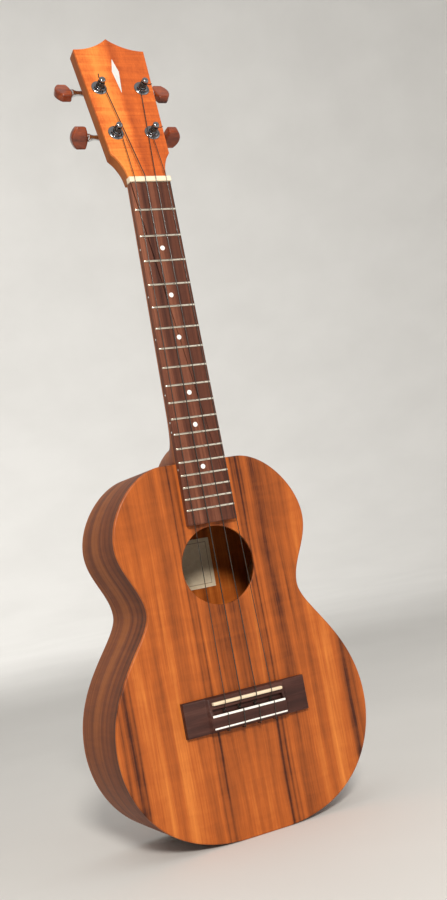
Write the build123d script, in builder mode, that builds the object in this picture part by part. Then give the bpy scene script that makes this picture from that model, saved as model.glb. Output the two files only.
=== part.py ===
"""Tenor ukulele with four open-gear tuning machines, each piece its own body.

Frame: Z runs up the neck from the tail end, the soundboard faces -Y and X points right seen from
the front. All lengths are in millimetres.
"""
import os
from math import atan2, cos, degrees, hypot, pi, radians, sin

from build123d import *

os.makedirs("parts", exist_ok=True)

# ---- Body ----------------------------------------------------------------------------------
front_y = -38.24            # front face of the soundboard, the fretboard's and bridge's seat
body_length = 305.9         # tail end to the shoulder, where the neck joins
shoulder_flat = 34.0        # half-width of the flat shoulder under the neck
upper_bout = 86.9           # half-width of the upper bout, at upper_bout_z
upper_bout_z = 247.3
waist = 69.3
waist_z = 191.3
lower_bout = 113.2
lower_bout_z = 88.3
tail_flat = 16.0            # half-width of the flat tail end
depth_neck = 80.0           # overall depth at the shoulder
depth_tail = 88.6           # overall depth at the tail end
board_t = 2.0               # soundboard and back thickness
side_t = 2.0
soundhole_r = 32.3
soundhole_z = 218.7
lining_w = 5.0
lining_h = 9.0
block_t = 16.0              # neck block, measured along Z
tail_block_t = 12.0
tenon_w = 16.0              # neck tenon in the neck block's mortise
tenon_l = 12.0
tenon_h = 56.0
glue_gap = 0.05             # left round glued wood-to-wood joints

# ---- Neck and fretboard ---------------------------------------------------------------------
scale_length = 431.8        # seventeen inches, the usual tenor scale
joint_fret = 14
fret_count = 18
fretboard_t = 5.4
fretboard_nut = 18.6        # half-widths of the fretboard
fretboard_end = 22.2
fretboard_length = 291.5
neck_depth_nut = 13.0       # wood behind the fretboard
neck_depth_heel = 15.0
nut_t = 5.0
nut_h = 7.4
fret_crown_w = 2.0
fret_crown_h = 1.0
marker_frets = (3, 5, 7, 10, 12, 15)
marker_r = 2.1

# ---- Headstock ------------------------------------------------------------------------------
head_tilt = 14.0            # degrees back from the neck
head_drop = 2.3             # headstock face in front of the fretboard's seat, at the nut
veneer_t = 2.3
head_t = 12.8               # wood and veneer together
head_side_top = 134.4       # up the headstock from the nut to its top corners
head_peak = 147.0
head_top = 33.1             # half-widths of the headstock
head_low = 27.0
head_low_up = 25.0
post_upper = (19.9, 93.0)   # tuner posts: half-spacing, distance up the headstock
post_lower = (16.85, 46.0)
scallop_r = 49.8

# ---- Bridge ---------------------------------------------------------------------------------
bridge_top_z = 116.3        # edge nearer the soundhole
bridge_len = 28.0           # along the strings
bridge_half = 55.4
bridge_wing_h = 5.0
bridge_core = 33.2          # half-width of the raised middle
saddle_z = 111.0
saddle_t = 3.2
saddle_half = 31.8
saddle_h = 11.1             # top of the saddle above the soundboard
tie_h = 9.3                 # top of the tie block above the soundboard
tie_front_z = 102.2
tie_hole_h = 4.2

# ---- Strings: spacings and radii ------------------------------------------------------------
nut_spacing = 9.6
saddle_spacing = 14.1
string_r = {"g": 0.33, "c": 0.46, "e": 0.40, "a": 0.33}

# ---- Tuning machine, in its own frame: X out to the button, Y up the headstock, Z backwards --
gear_teeth = 14
gear_r = 5.3                # pitch radius
worm_r = 2.9                # pitch radius
tooth_out = 0.55            # addendum
tooth_in = 0.75             # dedendum
axis_h = 4.75               # worm axis above the headstock's back face
plate_t = 1.0
gear_w = 3.2
worm_half = 4.6             # half-length of the thread
ear_in = 5.4                # plate's ears, from the post's axis
ear_out = 7.0
shaft_r = 1.7
post_r = 3.0
post_waist_r = 2.35
washer_t = 1.1
hex_h = 1.8
post_tip = 12.4             # post top above the headstock's face
wrap_h = 4.1                # lowest string wrap above the headstock's face
button_near = 19.3          # button's inner end from the post's axis
button_len = 14.7
button_h = 19.0
button_t = 7.6
run_gap = 0.05              # running clearance, radial

# ---- Derived positions ----------------------------------------------------------------------
nut_z = body_length + scale_length * (1 - 2 ** (-joint_fret / 12))
worm_off = gear_r + worm_r
lead = 2 * pi * gear_r / gear_teeth
lead_angle = degrees(atan2(lead, 2 * pi * worm_r))
back_tilt = degrees(atan2(depth_tail - depth_neck, body_length))
ct, st = cos(radians(head_tilt)), sin(radians(head_tilt))
cb, sb = cos(radians(back_tilt)), sin(radians(back_tilt))

front = Plane(origin=(0, front_y, 0), x_dir=(1, 0, 0), z_dir=(0, -1, 0))
back_out = Plane(origin=(0, front_y + depth_tail, 0), x_dir=(1, 0, 0), z_dir=(0, -cb, -sb))
back_in = back_out.offset(board_t)
head = Plane(origin=(0, front_y - head_drop, nut_z + nut_t), x_dir=(1, 0, 0), z_dir=(0, -ct, st))
head_back = head.offset(-head_t)


def fret_z(n):
    """Height of fret n, from the equal-tempered scale."""
    return nut_z - scale_length * (1 - 2 ** (-n / 12))


def board_half(z):
    """Half-width of the fretboard and neck at height z."""
    return fretboard_nut + (fretboard_end - fretboard_nut) * (nut_z - z) / fretboard_length


def save(shape, name):
    """Label one piece and write it to its STEP file."""
    shape.label = name
    export_step(shape, f"parts/{name}.step")


def body_outline(inset=0.0):
    """Body outline in the soundboard's plane, moved inwards by inset."""
    with BuildLine():
        shoulder = Bezier((shoulder_flat, body_length), (shoulder_flat + 26, body_length),
                          (upper_bout, upper_bout_z + 27.5), (upper_bout, upper_bout_z))
        upper = Bezier((upper_bout, upper_bout_z), (upper_bout, upper_bout_z - 22),
                       (waist, waist_z + 19), (waist, waist_z))
        middle = Bezier((waist, waist_z), (waist, waist_z - 20.5),
                        (lower_bout, lower_bout_z + 54.5), (lower_bout, lower_bout_z))
        lower = Bezier((lower_bout, lower_bout_z), (lower_bout, lower_bout_z - 43),
                       (tail_flat + 68, 0), (tail_flat, 0))
    knots = [(curve, step / 6) for curve in (shoulder, upper, middle, lower) for step in range(6)]
    rim = [curve @ t + Vector((curve % t).Y, -(curve % t).X) * inset
           for curve, t in knots + [(lower, 1)]]
    with BuildSketch() as s:
        with BuildLine():
            Line((0, body_length - inset), rim[0])
            Spline(*rim)
            Line(rim[-1], (0, inset))
            mirror(about=Plane.YZ)
        make_face()
    return s.sketch


def trim_to_back(depth=0.0):
    """Cut the active part back to the inner face of the back plate, or to depth inside it."""
    with Locations(back_in.offset(depth).location):
        Box(500, 1500, 80, align=(Align.CENTER, Align.CENTER, Align.MAX), mode=Mode.SUBTRACT)


outline = body_outline()
outline_side = body_outline(side_t)
outline_lining = body_outline(side_t + lining_w)

# ---- Soundbox -------------------------------------------------------------------------------
with BuildPart() as soundboard:
    with BuildSketch(front):
        add(outline)
        with Locations((0, soundhole_z)):
            Circle(soundhole_r, mode=Mode.SUBTRACT)
    extrude(amount=-board_t)
save(soundboard.part, "soundboard")

with BuildPart() as back:
    with BuildSketch(front):
        add(outline)
    extrude(amount=-depth_tail - 10)
    with Locations(back_out.location):
        Box(500, 1500, board_t, align=(Align.CENTER, Align.CENTER, Align.MIN), mode=Mode.INTERSECT)
save(back.part, "back")

with BuildPart() as sides:
    with BuildSketch(front.offset(-board_t)):
        add(outline)
        add(outline_side, mode=Mode.SUBTRACT)
    extrude(amount=-depth_tail)
    trim_to_back()
    with Locations((0, front_y + board_t + tenon_h / 2, body_length - side_t / 2)):
        Box(tenon_w + 2 * glue_gap, tenon_h + 2 * glue_gap, side_t * 2, mode=Mode.SUBTRACT)
for name, keep in (("side_treble", Keep.TOP), ("side_bass", Keep.BOTTOM)):
    with BuildPart() as half:
        add(sides.part)
        split(bisect_by=Plane.YZ, keep=keep)
    save(half.part, name)

with BuildPart() as neck_block:
    with BuildSketch(front.offset(-board_t)):
        add(outline_side)
    extrude(amount=-depth_tail)
    trim_to_back()
    with Locations((0, front_y + depth_tail / 2, body_length - side_t - block_t / 2)):
        Box(60, 2 * depth_tail, block_t, mode=Mode.INTERSECT)
    with Locations((0, front_y + board_t + tenon_h / 2, body_length - side_t - tenon_l / 2)):
        Box(tenon_w + 2 * glue_gap, tenon_h + 2 * glue_gap, tenon_l + 2 * glue_gap,
            mode=Mode.SUBTRACT)
save(neck_block.part, "neck_block")

with BuildPart() as tail_block:
    with BuildSketch(front.offset(-board_t)):
        add(outline_side)
    extrude(amount=-depth_tail)
    trim_to_back()
    with Locations((0, front_y + depth_tail / 2, side_t + tail_block_t / 2)):
        Box(56, 2 * depth_tail, tail_block_t, mode=Mode.INTERSECT)
save(tail_block.part, "tail_block")

with BuildPart() as lining_top:
    with BuildSketch(front.offset(-board_t)):
        add(outline_side)
        add(outline_lining, mode=Mode.SUBTRACT)
        with Locations((0, body_length), (0, 0)):
            Rectangle(61, 60, mode=Mode.SUBTRACT)
    extrude(amount=-lining_h)
save(lining_top.part, "lining_top")

with BuildPart() as lining_back:
    with BuildSketch(front.offset(-depth_neck / 2)):
        add(outline_side)
        add(outline_lining, mode=Mode.SUBTRACT)
        with Locations((0, body_length), (0, 0)):
            Rectangle(61, 60, mode=Mode.SUBTRACT)
    extrude(amount=-depth_tail)
    trim_to_back()
    with Locations(back_in.offset(lining_h).location):
        Box(500, 1500, 80, align=(Align.CENTER, Align.CENTER, Align.MIN), mode=Mode.SUBTRACT)
save(lining_back.part, "lining_back")

with BuildPart() as bridge_plate:
    with Locations((0, front_y + board_t + 0.75, bridge_top_z - bridge_len / 2)):
        Box(124, 1.5, 40)
save(bridge_plate.part, "bridge_plate")

with BuildPart() as top_braces:
    for z, half in ((263, 73), (177, 62)):
        with Locations((0, front_y + board_t + 4.5, z)):
            Box(2 * half, 9, 8)
    for lean in (-13, 0, 13):
        with Locations(Location((2.2 * lean, front_y + board_t + 2.5, 96), (0, -lean, 0))):
            Box(6, 5, 134)
    with Locations((0, front_y + board_t + 0.75, bridge_top_z - bridge_len / 2)):
        Box(124.2, 1.6, 40.2, mode=Mode.SUBTRACT)
save(top_braces.part, "top_braces")

with BuildPart() as back_braces:
    with BuildSketch(back_in):
        for z, half in ((262, 73), (160, 74), (62, 97)):
            with Locations((0, z)):
                Rectangle(2 * half, 8)
    extrude(amount=10)
save(back_braces.part, "back_braces")

strip_spans = ((74, 142), (170, 188), (20, 52))
with BuildPart() as back_strip:
    for low, high in strip_spans:
        with BuildSketch(back_in):
            with Locations((0, (low + high) / 2)):
                Rectangle(18, high - low)
        extrude(amount=1.8)
save(back_strip.part, "back_strip")

with BuildPart() as label:
    with BuildSketch(back_in):
        with Locations((0, 222)):
            Rectangle(62, 44)
    extrude(amount=0.3)
save(label.part, "label")

# ---- Neck -----------------------------------------------------------------------------------
heel_sections = ((9.0, 20.6, 37.0), (17.0, 19.4, 23.0), (34.0, 16.6, 18.4),
                 (55.0, 13.8, 15.4), (66.0, 11.8, 11.0), (71.5, 9.0, 4.5))


def half_ellipse(across, along):
    """Half of an ellipse on the positive local Y side, closed by its straight diameter."""
    with BuildSketch() as s:
        Ellipse(across, along)
        with Locations((0, -along)):
            Rectangle(4 * across, 2 * along, mode=Mode.SUBTRACT)
    return s.sketch


def head_outline():
    """Headstock outline: flare above the nut, straight sides, two scallops and a peak."""
    with BuildSketch() as s:
        with BuildLine():
            Line((0, -1.2), (17.4, -1.2))
            Spline((17.4, -1.2), (19.0, 10.0), (22.4, 18.6), (head_low, head_low_up))
            Line((head_low, head_low_up), (head_top, head_side_top))
            RadiusArc((head_top, head_side_top), (0, head_peak), scallop_r)
            mirror(about=Plane.YZ)
        make_face()
    return s.sketch


posts = [(side * x, up) for x, up in (post_lower, post_upper) for side in (-1, 1)]
plate_screw_ups = (-10.0, 16.4)

with BuildPart() as neck:
    for z, depth in ((body_length, neck_depth_heel), (nut_z + nut_t, neck_depth_nut)):
        with BuildSketch(Plane((0, front_y, z), x_dir=(1, 0, 0), z_dir=(0, 0, 1))):
            add(half_ellipse(board_half(z), depth))
    loft()
    for back_by, across, along in heel_sections:
        with BuildSketch(Plane((0, front_y + back_by, body_length), x_dir=(1, 0, 0),
                               z_dir=(0, -1, 0))):
            add(half_ellipse(across, along))
    loft()
    with BuildSketch(head.offset(-veneer_t)):
        add(head_outline())
    extrude(amount=-(head_t - veneer_t))
    with Locations((0, front_y + board_t + tenon_h / 2, body_length - tenon_l / 2)):
        Box(tenon_w, tenon_h - 2 * glue_gap, tenon_l - glue_gap + side_t, mode=Mode.ADD)
    with Locations((0, front_y - 5, nut_z + nut_t / 2)):
        Box(60, 10, nut_t + 0.04, mode=Mode.SUBTRACT)
    with BuildSketch(head):
        with Locations(*posts):
            Circle(4.5)
    extrude(amount=-30, mode=Mode.SUBTRACT)
    with BuildSketch(head_back):
        with Locations(*[(x, up + dy) for x, up in posts for dy in plate_screw_ups]):
            Circle(1.15)
    extrude(amount=7, mode=Mode.SUBTRACT)
save(neck.part, "neck")

with BuildPart() as head_plate:
    with BuildSketch(head):
        add(head_outline())
        with Locations(*posts):
            Circle(4.5, mode=Mode.SUBTRACT)
    extrude(amount=-veneer_t)
    split(bisect_by=Plane.XY.offset(nut_z + nut_t + 0.03), keep=Keep.TOP)
    with BuildSketch(head):
        with BuildLine():
            Polyline((0, 87), (3.3, 111), (0, 125), (-3.3, 111), close=True)
        make_face()
    extrude(amount=-1.0, mode=Mode.SUBTRACT)
save(head_plate.part, "head_plate")

with BuildPart() as head_inlay:
    with BuildSketch(head.offset(-1.0)):
        with BuildLine():
            Polyline((0, 87), (3.3, 111), (0, 125), (-3.3, 111), close=True)
        make_face()
        offset(amount=-0.03, mode=Mode.REPLACE)
    extrude(amount=1.0)
save(head_inlay.part, "head_inlay")

# ---- Fretboard ------------------------------------------------------------------------------
board_bottom_z = nut_z - fretboard_length
marker_spots = [(0, (fret_z(n) + fret_z(n - 1)) / 2) for n in marker_frets]
side_spots = [((fret_z(n) + fret_z(n - 1)) / 2 + dz)
              for n in marker_frets for dz in ((-4, 4) if n == 12 else (0,))]

with BuildPart() as fretboard:
    with BuildSketch(front):
        with BuildLine():
            Polyline((-fretboard_nut, nut_z), (fretboard_nut, nut_z),
                     (fretboard_end, board_bottom_z), (-fretboard_end, board_bottom_z), close=True)
        make_face()
    extrude(amount=fretboard_t)
    with Locations(*[(0, front_y - fretboard_t + 0.9, fret_z(n)) for n in range(1, fret_count + 1)]):
        Box(60, 1.8, 0.6, mode=Mode.SUBTRACT)
    with BuildSketch(front.offset(fretboard_t - 1.0)):
        with Locations(*marker_spots):
            Circle(marker_r)
    extrude(amount=2, mode=Mode.SUBTRACT)
    for z in side_spots:
        with Locations(Location((-board_half(z), front_y - fretboard_t / 2, z), (0, 90, 0))):
            Cylinder(0.8, 2.4, mode=Mode.SUBTRACT)
save(fretboard.part, "fretboard")

with BuildPart() as frets:
    for n in range(1, fret_count + 1):
        half = board_half(fret_z(n)) - 0.9
        with BuildSketch(Plane((0, front_y - fretboard_t, fret_z(n)), x_dir=(0, -1, 0),
                               z_dir=(1, 0, 0))):
            with BuildLine():
                ThreePointArc((0, -fret_crown_w / 2), (fret_crown_h, 0), (0, fret_crown_w / 2))
                Line((0, fret_crown_w / 2), (0, -fret_crown_w / 2))
            make_face()
            with Locations((-0.8, 0)):
                Rectangle(1.62, 0.5)
        extrude(amount=half, both=True)
save(frets.part, "frets")

with BuildPart() as fret_markers:
    with BuildSketch(front.offset(fretboard_t - 0.98)):
        with Locations(*marker_spots):
            Circle(marker_r - 0.03)
    extrude(amount=0.98)
save(fret_markers.part, "fret_markers")

with BuildPart() as side_markers:
    for z in side_spots:
        with Locations(Location((-board_half(z) + 0.56, front_y - fretboard_t / 2, z), (0, 90, 0))):
            Cylinder(0.77, 1.1)
save(side_markers.part, "side_markers")

string_names = ("g", "c", "e", "a")
nut_x = {n: (i - 1.5) * nut_spacing for i, n in enumerate(string_names)}
saddle_x = {n: (i - 1.5) * saddle_spacing for i, n in enumerate(string_names)}
slot_y = front_y - nut_h + 0.35     # bottom of the nut's slots

with BuildPart() as nut:
    with Locations((0, front_y - nut_h / 2, nut_z + nut_t / 2)):
        Box(2 * fretboard_nut + 0.8, nut_h - 0.02, nut_t - 0.02)
    fillet(nut.faces().sort_by(Axis.Y)[0].edges(), 0.9)
    for name in string_names:
        with Locations((nut_x[name], slot_y - 1.5, nut_z + nut_t / 2)):
            Box(2 * string_r[name] + 0.12, 3, nut_t * 2, mode=Mode.SUBTRACT)
save(nut.part, "nut")

# ---- Bridge ---------------------------------------------------------------------------------
bridge_z = bridge_top_z - bridge_len / 2
bridge_low_z = bridge_top_z - bridge_len
strip_high = (tie_front_z - 1.8, 1.8)       # lower edge and width of each white strip
strip_low = (bridge_low_z + 2.6, 1.4)

with BuildPart() as bridge:
    with BuildSketch(front):
        with Locations((0, bridge_z)):
            RectangleRounded(2 * bridge_half, bridge_len, 3)
    extrude(amount=bridge_wing_h)
    fillet(bridge.faces().sort_by(Axis.Y)[0].edges(), 1.4)
    with BuildSketch(Plane((0, front_y - 0.5, 0), x_dir=(0, -1, 0), z_dir=(-1, 0, 0))):
        with BuildLine():
            Polyline((0, bridge_top_z - 0.4), (6.6, bridge_top_z - 1.4), (6.6, saddle_z - 4.2),
                     (3.6, saddle_z - 4.6), (3.6, tie_front_z), (tie_h - 0.5, tie_front_z),
                     (tie_h - 0.5, bridge_low_z + 2.4), (tie_h - 2.2, bridge_low_z + 0.6),
                     (0, bridge_low_z + 0.4), close=True)
        make_face()
    extrude(amount=bridge_core, both=True)
    with Locations((0, front_y - 6.3, (saddle_z - 4.6 + tie_front_z) / 2)):
        Box(2 * bridge_core - 2.6, 5, saddle_z - 4.6 - tie_front_z, mode=Mode.SUBTRACT)
    with Locations((0, front_y - 2.2 - 4, saddle_z)):
        Box(2 * saddle_half + 0.1, 8, saddle_t + 0.1, mode=Mode.SUBTRACT)
    for low, width in (strip_high, strip_low):
        with Locations((0, front_y - tie_h, low + width / 2)):
            Box(2 * bridge_core + 1, 1.6, width + 0.02, mode=Mode.SUBTRACT)
    with Locations(*[(saddle_x[name], front_y - tie_hole_h, bridge_low_z + 8) for name in string_names]):
        Cylinder(0.85, 40, mode=Mode.SUBTRACT)
save(bridge.part, "bridge")

with BuildPart() as saddle:
    with BuildSketch(Plane((0, front_y, saddle_z), x_dir=(0, -1, 0), z_dir=(-1, 0, 0))):
        with BuildLine():
            Polyline((2.25, -saddle_t / 2), (2.25, saddle_t / 2), (saddle_h - 0.5, saddle_t / 2),
                     (saddle_h, 1.0), (saddle_h, -0.1), (saddle_h - 1.6, -saddle_t / 2), close=True)
        make_face()
    extrude(amount=saddle_half, both=True)
save(saddle.part, "saddle")

with BuildPart() as tie_strips:
    for low, width in (strip_high, strip_low):
        with Locations((0, front_y - tie_h + 0.4, low + width / 2)):
            Box(2 * bridge_core, 0.8, width)
save(tie_strips.part, "tie_strips")

# ---- Tuning machines ------------------------------------------------------------------------
worm_plane = Plane((0, worm_off, axis_h), x_dir=(0, -1, 0), z_dir=(1, 0, 0))

with BuildPart() as tuner_plate:
    with BuildSketch():
        with Locations((0, 3.2)):
            RectangleRounded(11.0, 33.4, 4.5)
        with Locations((0, worm_off)):
            Rectangle(2 * ear_out, 7.4)
        Circle(post_r + run_gap, mode=Mode.SUBTRACT)
        with Locations(*[(0, dy) for dy in plate_screw_ups]):
            Circle(1.35, mode=Mode.SUBTRACT)
    extrude(amount=plate_t)
    for x in (-ear_out, ear_in):
        with BuildSketch(Plane((x, worm_off, 0), x_dir=(0, 1, 0), z_dir=(1, 0, 0))):
            with Locations((0, axis_h / 2 + plate_t / 2)):
                Rectangle(6.4, axis_h - plate_t)
            with Locations((0, axis_h)):
                Circle(3.2)
                Circle(shaft_r + run_gap, mode=Mode.SUBTRACT)
        extrude(amount=ear_out - ear_in)

with BuildPart() as worm_raw:
    with BuildLine() as thread_path:
        Helix(lead, 4 * lead, worm_r - tooth_in, center=(0, 0, -2 * lead))
    with BuildSketch(Plane(thread_path.line @ 0, x_dir=(1, 0, 0), z_dir=thread_path.line % 0)):
        with BuildLine():
            Polyline((-0.2, -0.62), (tooth_in + tooth_out, -0.24), (tooth_in + tooth_out, 0.24),
                     (-0.2, 0.62), close=True)
        make_face()
    sweep(is_frenet=True)
    Cylinder(8, 2 * worm_half, mode=Mode.INTERSECT)
    Cylinder(worm_r - tooth_in, 2 * worm_half)
    with Locations((0, 0, (-ear_out - 0.9 + 17.4) / 2)):
        Cylinder(shaft_r, 17.4 + ear_out + 0.9)
    with Locations((0, 0, ear_out + 0.2 + 4.6)):
        Cylinder(2.7, 9.2)
    with Locations((0, 0, 17.0)):
        Cone(2.7, 3.7, 1.6)
    with Locations((0, 0, 18.5)):
        Cylinder(3.7, 1.4)
    with Locations((0, 0, 24.0)):
        Cylinder(1.5, 12)

with BuildPart() as button_raw:
    with BuildSketch(Plane((0, 0, 0), x_dir=(0, 0, 1), z_dir=(1, 0, 0))) as button_face:
        with BuildLine():
            near, far, half = button_near, button_near + button_len, button_h / 2
            ThreePointArc((near + 2.2, -half), (near, 0), (near + 2.2, half))
            Line((near + 2.2, half), (far - 4.4, half))
            ThreePointArc((far - 4.4, half), (far, 0), (far - 4.4, -half))
            Line((far - 4.4, -half), (near + 2.2, -half))
        make_face()
        fillet(button_face.vertices(), 1.6)
    extrude(amount=button_t / 2, both=True)
    fillet(button_raw.edges().filter_by(Axis.X, reverse=True), 1.3)
    with Locations((0, 0, near + 5.5)):
        Cylinder(1.55, 11.6, mode=Mode.SUBTRACT)

with BuildPart() as gear:
    with Locations((0, 0, axis_h)):
        Cylinder(gear_r + tooth_out, gear_w)
        Cylinder(1.9, gear_w, mode=Mode.SUBTRACT)
    for k in range(gear_teeth):
        gap = Location((0, 0, 0), (0, 0, 360 * k / gear_teeth)) * Location((0, 0, axis_h),
                                                                          (0, -lead_angle, 0))
        with BuildSketch(Plane(gap.position, x_dir=gap.x_axis.direction,
                               z_dir=gap.z_axis.direction)):
            with BuildLine():
                Polyline((-0.56, gear_r - tooth_in), (0.56, gear_r - tooth_in),
                         (1.02, gear_r + tooth_out + 0.6), (-1.02, gear_r + tooth_out + 0.6),
                         close=True)
            make_face()
        extrude(amount=gear_w, both=True, mode=Mode.SUBTRACT)

with BuildPart() as post:
    with BuildSketch(Plane.XZ):
        with BuildLine():
            Polyline((0, axis_h + gear_w / 2 - 0.1), (1.8, axis_h + gear_w / 2 - 0.1),
                     (1.8, axis_h - gear_w / 2 - 0.05), (post_r, axis_h - gear_w / 2 - 0.05),
                     (post_r, -head_t - washer_t - hex_h - 0.2),
                     (post_waist_r, -head_t - washer_t - hex_h - 0.6),
                     (post_waist_r, -head_t - 9.1), (2.9, -head_t - 9.9),
                     (2.9, -head_t - post_tip + 0.8), (2.1, -head_t - post_tip),
                     (0, -head_t - post_tip), close=True)
        make_face()
    revolve(axis=Axis.Z)
    with Locations(Location((0, 0, -head_t - 8.2), (0, 90, 0))):
        Cylinder(0.6, 20, mode=Mode.SUBTRACT)
    with Locations((0, 0, axis_h + gear_w / 2 - 2.6)):
        Cylinder(1.05, 5.2, mode=Mode.SUBTRACT)

with BuildPart() as gear_screw:
    with Locations((0, 0, axis_h + gear_w / 2 + 0.75)):
        Cylinder(2.6, 1.4)
    fillet(gear_screw.faces().sort_by(Axis.Z)[-1].edges(), 0.5)
    with Locations((0, 0, axis_h + gear_w / 2 - 1.9)):
        Cylinder(1.0, 4.4)
    with Locations((0, 0, axis_h + gear_w / 2 + 1.4)):
        Box(5.4, 0.7, 0.7, mode=Mode.SUBTRACT)

with BuildPart() as bushing:
    with Locations((0, 0, -head_t - washer_t)):
        Cylinder(4.4, 7 + washer_t, align=(Align.CENTER, Align.CENTER, Align.MIN))
    with BuildSketch(Plane.XY.offset(-head_t - washer_t)):
        RegularPolygon(5.0, 6)
    extrude(amount=-hex_h)
    Cylinder(post_r + run_gap, 80, mode=Mode.SUBTRACT)

with BuildPart() as washer:
    with Locations((0, 0, -head_t - washer_t)):
        Cylinder(7.0, washer_t, align=(Align.CENTER, Align.CENTER, Align.MIN))
    fillet(washer.faces().sort_by(Axis.Z)[0].edges(), 0.7)
    Cylinder(4.45, 80, mode=Mode.SUBTRACT)

with BuildPart() as plate_screws_one:
    for dy in plate_screw_ups:
        with Locations((0, dy, plate_t)):
            Cylinder(2.1, 1.1, align=(Align.CENTER, Align.CENTER, Align.MIN))
            Cylinder(1.1, 7.2, align=(Align.CENTER, Align.CENTER, Align.MAX))
        with Locations((0, dy, plate_t + 1.0)):
            Box(5, 0.6, 0.5, mode=Mode.SUBTRACT)


def winding(r):
    """String wound up a post above its first wrap, through the post's hole, with a short tail."""
    coil_r = post_waist_r + r + run_gap
    pitch = 2 * r + 0.08
    start = -head_t - wrap_h - pitch
    turns = (8.2 - wrap_h - pitch) / pitch
    with BuildPart() as w:
        with BuildLine() as path:
            Helix(pitch, turns * pitch, coil_r, center=(0, 0, start), direction=(0, 0, -1))
        with BuildSketch(Plane(path.line @ 0, z_dir=path.line % 0)):
            Circle(r)
        sweep(is_frenet=True)
        end = path.line @ 1
        across = atan2(end.Y, end.X)
    return w.part, across


def machine_at(x, up):
    """Placement of a machine on the headstock's back; those on the right are mirrored after."""
    spot = head_back.from_local_coords((-abs(x), up, 0))
    return Plane(spot, x_dir=(-1, 0, 0), z_dir=-head.z_dir).location


def place(shape, x, up):
    """Put a machine piece on the headstock, mirrored on the treble side."""
    placed = machine_at(x, up) * shape
    return placed if x < 0 else mirror(placed, about=Plane.YZ)


post_of = {"g": (-post_lower[0], post_lower[1]), "c": (-post_upper[0], post_upper[1]),
           "e": post_upper, "a": post_lower}
button_turn = {"g": 46, "c": -67, "e": -70, "a": 14}    # how each button happens to stand

for name, (x, up) in post_of.items():
    r = string_r[name]
    worm = worm_plane.location * worm_raw.part
    knob = worm_plane.location * Location((0, 0, 0), (0, 0, button_turn[name])) * button_raw.part
    coil, across = winding(r)
    hole_turn = Location((0, 0, 0), (0, 0, degrees(across)))
    with BuildPart() as tail:
        with Locations(Location((-2.6, 0, -head_t - 8.2), (0, 90, 0))):
            Cylinder(r, 2 * (post_waist_r + r + run_gap) + 5.2)
        with Locations((post_waist_r + r + run_gap, 0, -head_t - 8.2)):
            Sphere(r)
    turned_post = hole_turn * post.part
    wound = (coil + hole_turn * tail.part).clean()
    save(place(tuner_plate.part, x, up), f"tuner_plate_{name}")
    save(place(worm, x, up), f"worm_shaft_{name}")
    save(place(knob, x, up), f"button_{name}")
    save(place(gear.part, x, up), f"gear_{name}")
    save(place(turned_post, x, up), f"post_{name}")
    save(place(gear_screw.part, x, up), f"gear_screw_{name}")
    save(place(wound, x, up), f"winding_{name}")

for piece, name in ((bushing, "bushings"), (washer, "washers"), (plate_screws_one, "plate_screws")):
    save(Compound([s for x, up in post_of.values() for s in place(piece.part, x, up).solids()]), name)


# ---- Strings --------------------------------------------------------------------------------
def tangent_point(start, centre, radius):
    """Where a line from start touches a circle, on the side nearer the headstock's middle."""
    dx, dy = centre[0] - start[0], centre[1] - start[1]
    dist = hypot(dx, dy)
    toward = atan2(dy, dx)
    swing = atan2(radius, (dist ** 2 - radius ** 2) ** 0.5)
    side = 1 if centre[0] > 0 else -1
    length = (dist ** 2 - radius ** 2) ** 0.5
    heading = toward + side * swing
    return start[0] + length * cos(heading), start[1] + length * sin(heading)


def string(name):
    """One string from its loop over the tie block to the first wrap round its post."""
    r = string_r[name]
    x, up = post_of[name]
    sx, nx = saddle_x[name], nut_x[name]
    over = front_y - tie_h - r - 0.06
    rear = bridge_low_z - r - 0.1
    fore = tie_front_z + r + 0.1
    coil_r = post_waist_r + r + run_gap
    leave = head.to_local_coords(Vector(nx, slot_y - r - 0.03, nut_z + nut_t))
    tx, ty = tangent_point((leave.X, leave.Y), (x, up), coil_r)
    with BuildPart() as s:
        with BuildLine() as path:
            FilletPolyline((sx + 1.4, front_y - 6.6, fore), (sx + 1.4, over, fore),
                           (sx + 0.2, over, rear), (sx, front_y - tie_hole_h, rear),
                           (sx, front_y - tie_hole_h, tie_front_z + 0.6),
                           (sx, front_y - saddle_h - r - 0.1, saddle_z - 0.1),
                           (nx, slot_y - r - 0.04, nut_z + nut_t - 0.05),
                           tuple(head.from_local_coords((tx, ty, wrap_h))), radius=0.9)
        with BuildSketch(Plane(path.line @ 0, z_dir=path.line % 0)):
            Circle(r)
        sweep()
        with Locations(Plane(head.from_local_coords((x, up, wrap_h)), x_dir=(1, 0, 0),
                             z_dir=head.z_dir).location):
            Torus(coil_r, r)
    return s.part


for name in string_names:
    save(string(name), f"string_{name}")
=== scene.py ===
"""Looks of a tenor ukulele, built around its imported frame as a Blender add-on.

Row frame: Z runs up the neck from the tail end, the soundboard faces -Y and X points right seen
from the front. Shapes are worked out in millimetres and put into their meshes in metres.
"""

from math import asin, atan2, cos, hypot, pi, radians, sin, sqrt, tan

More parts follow.
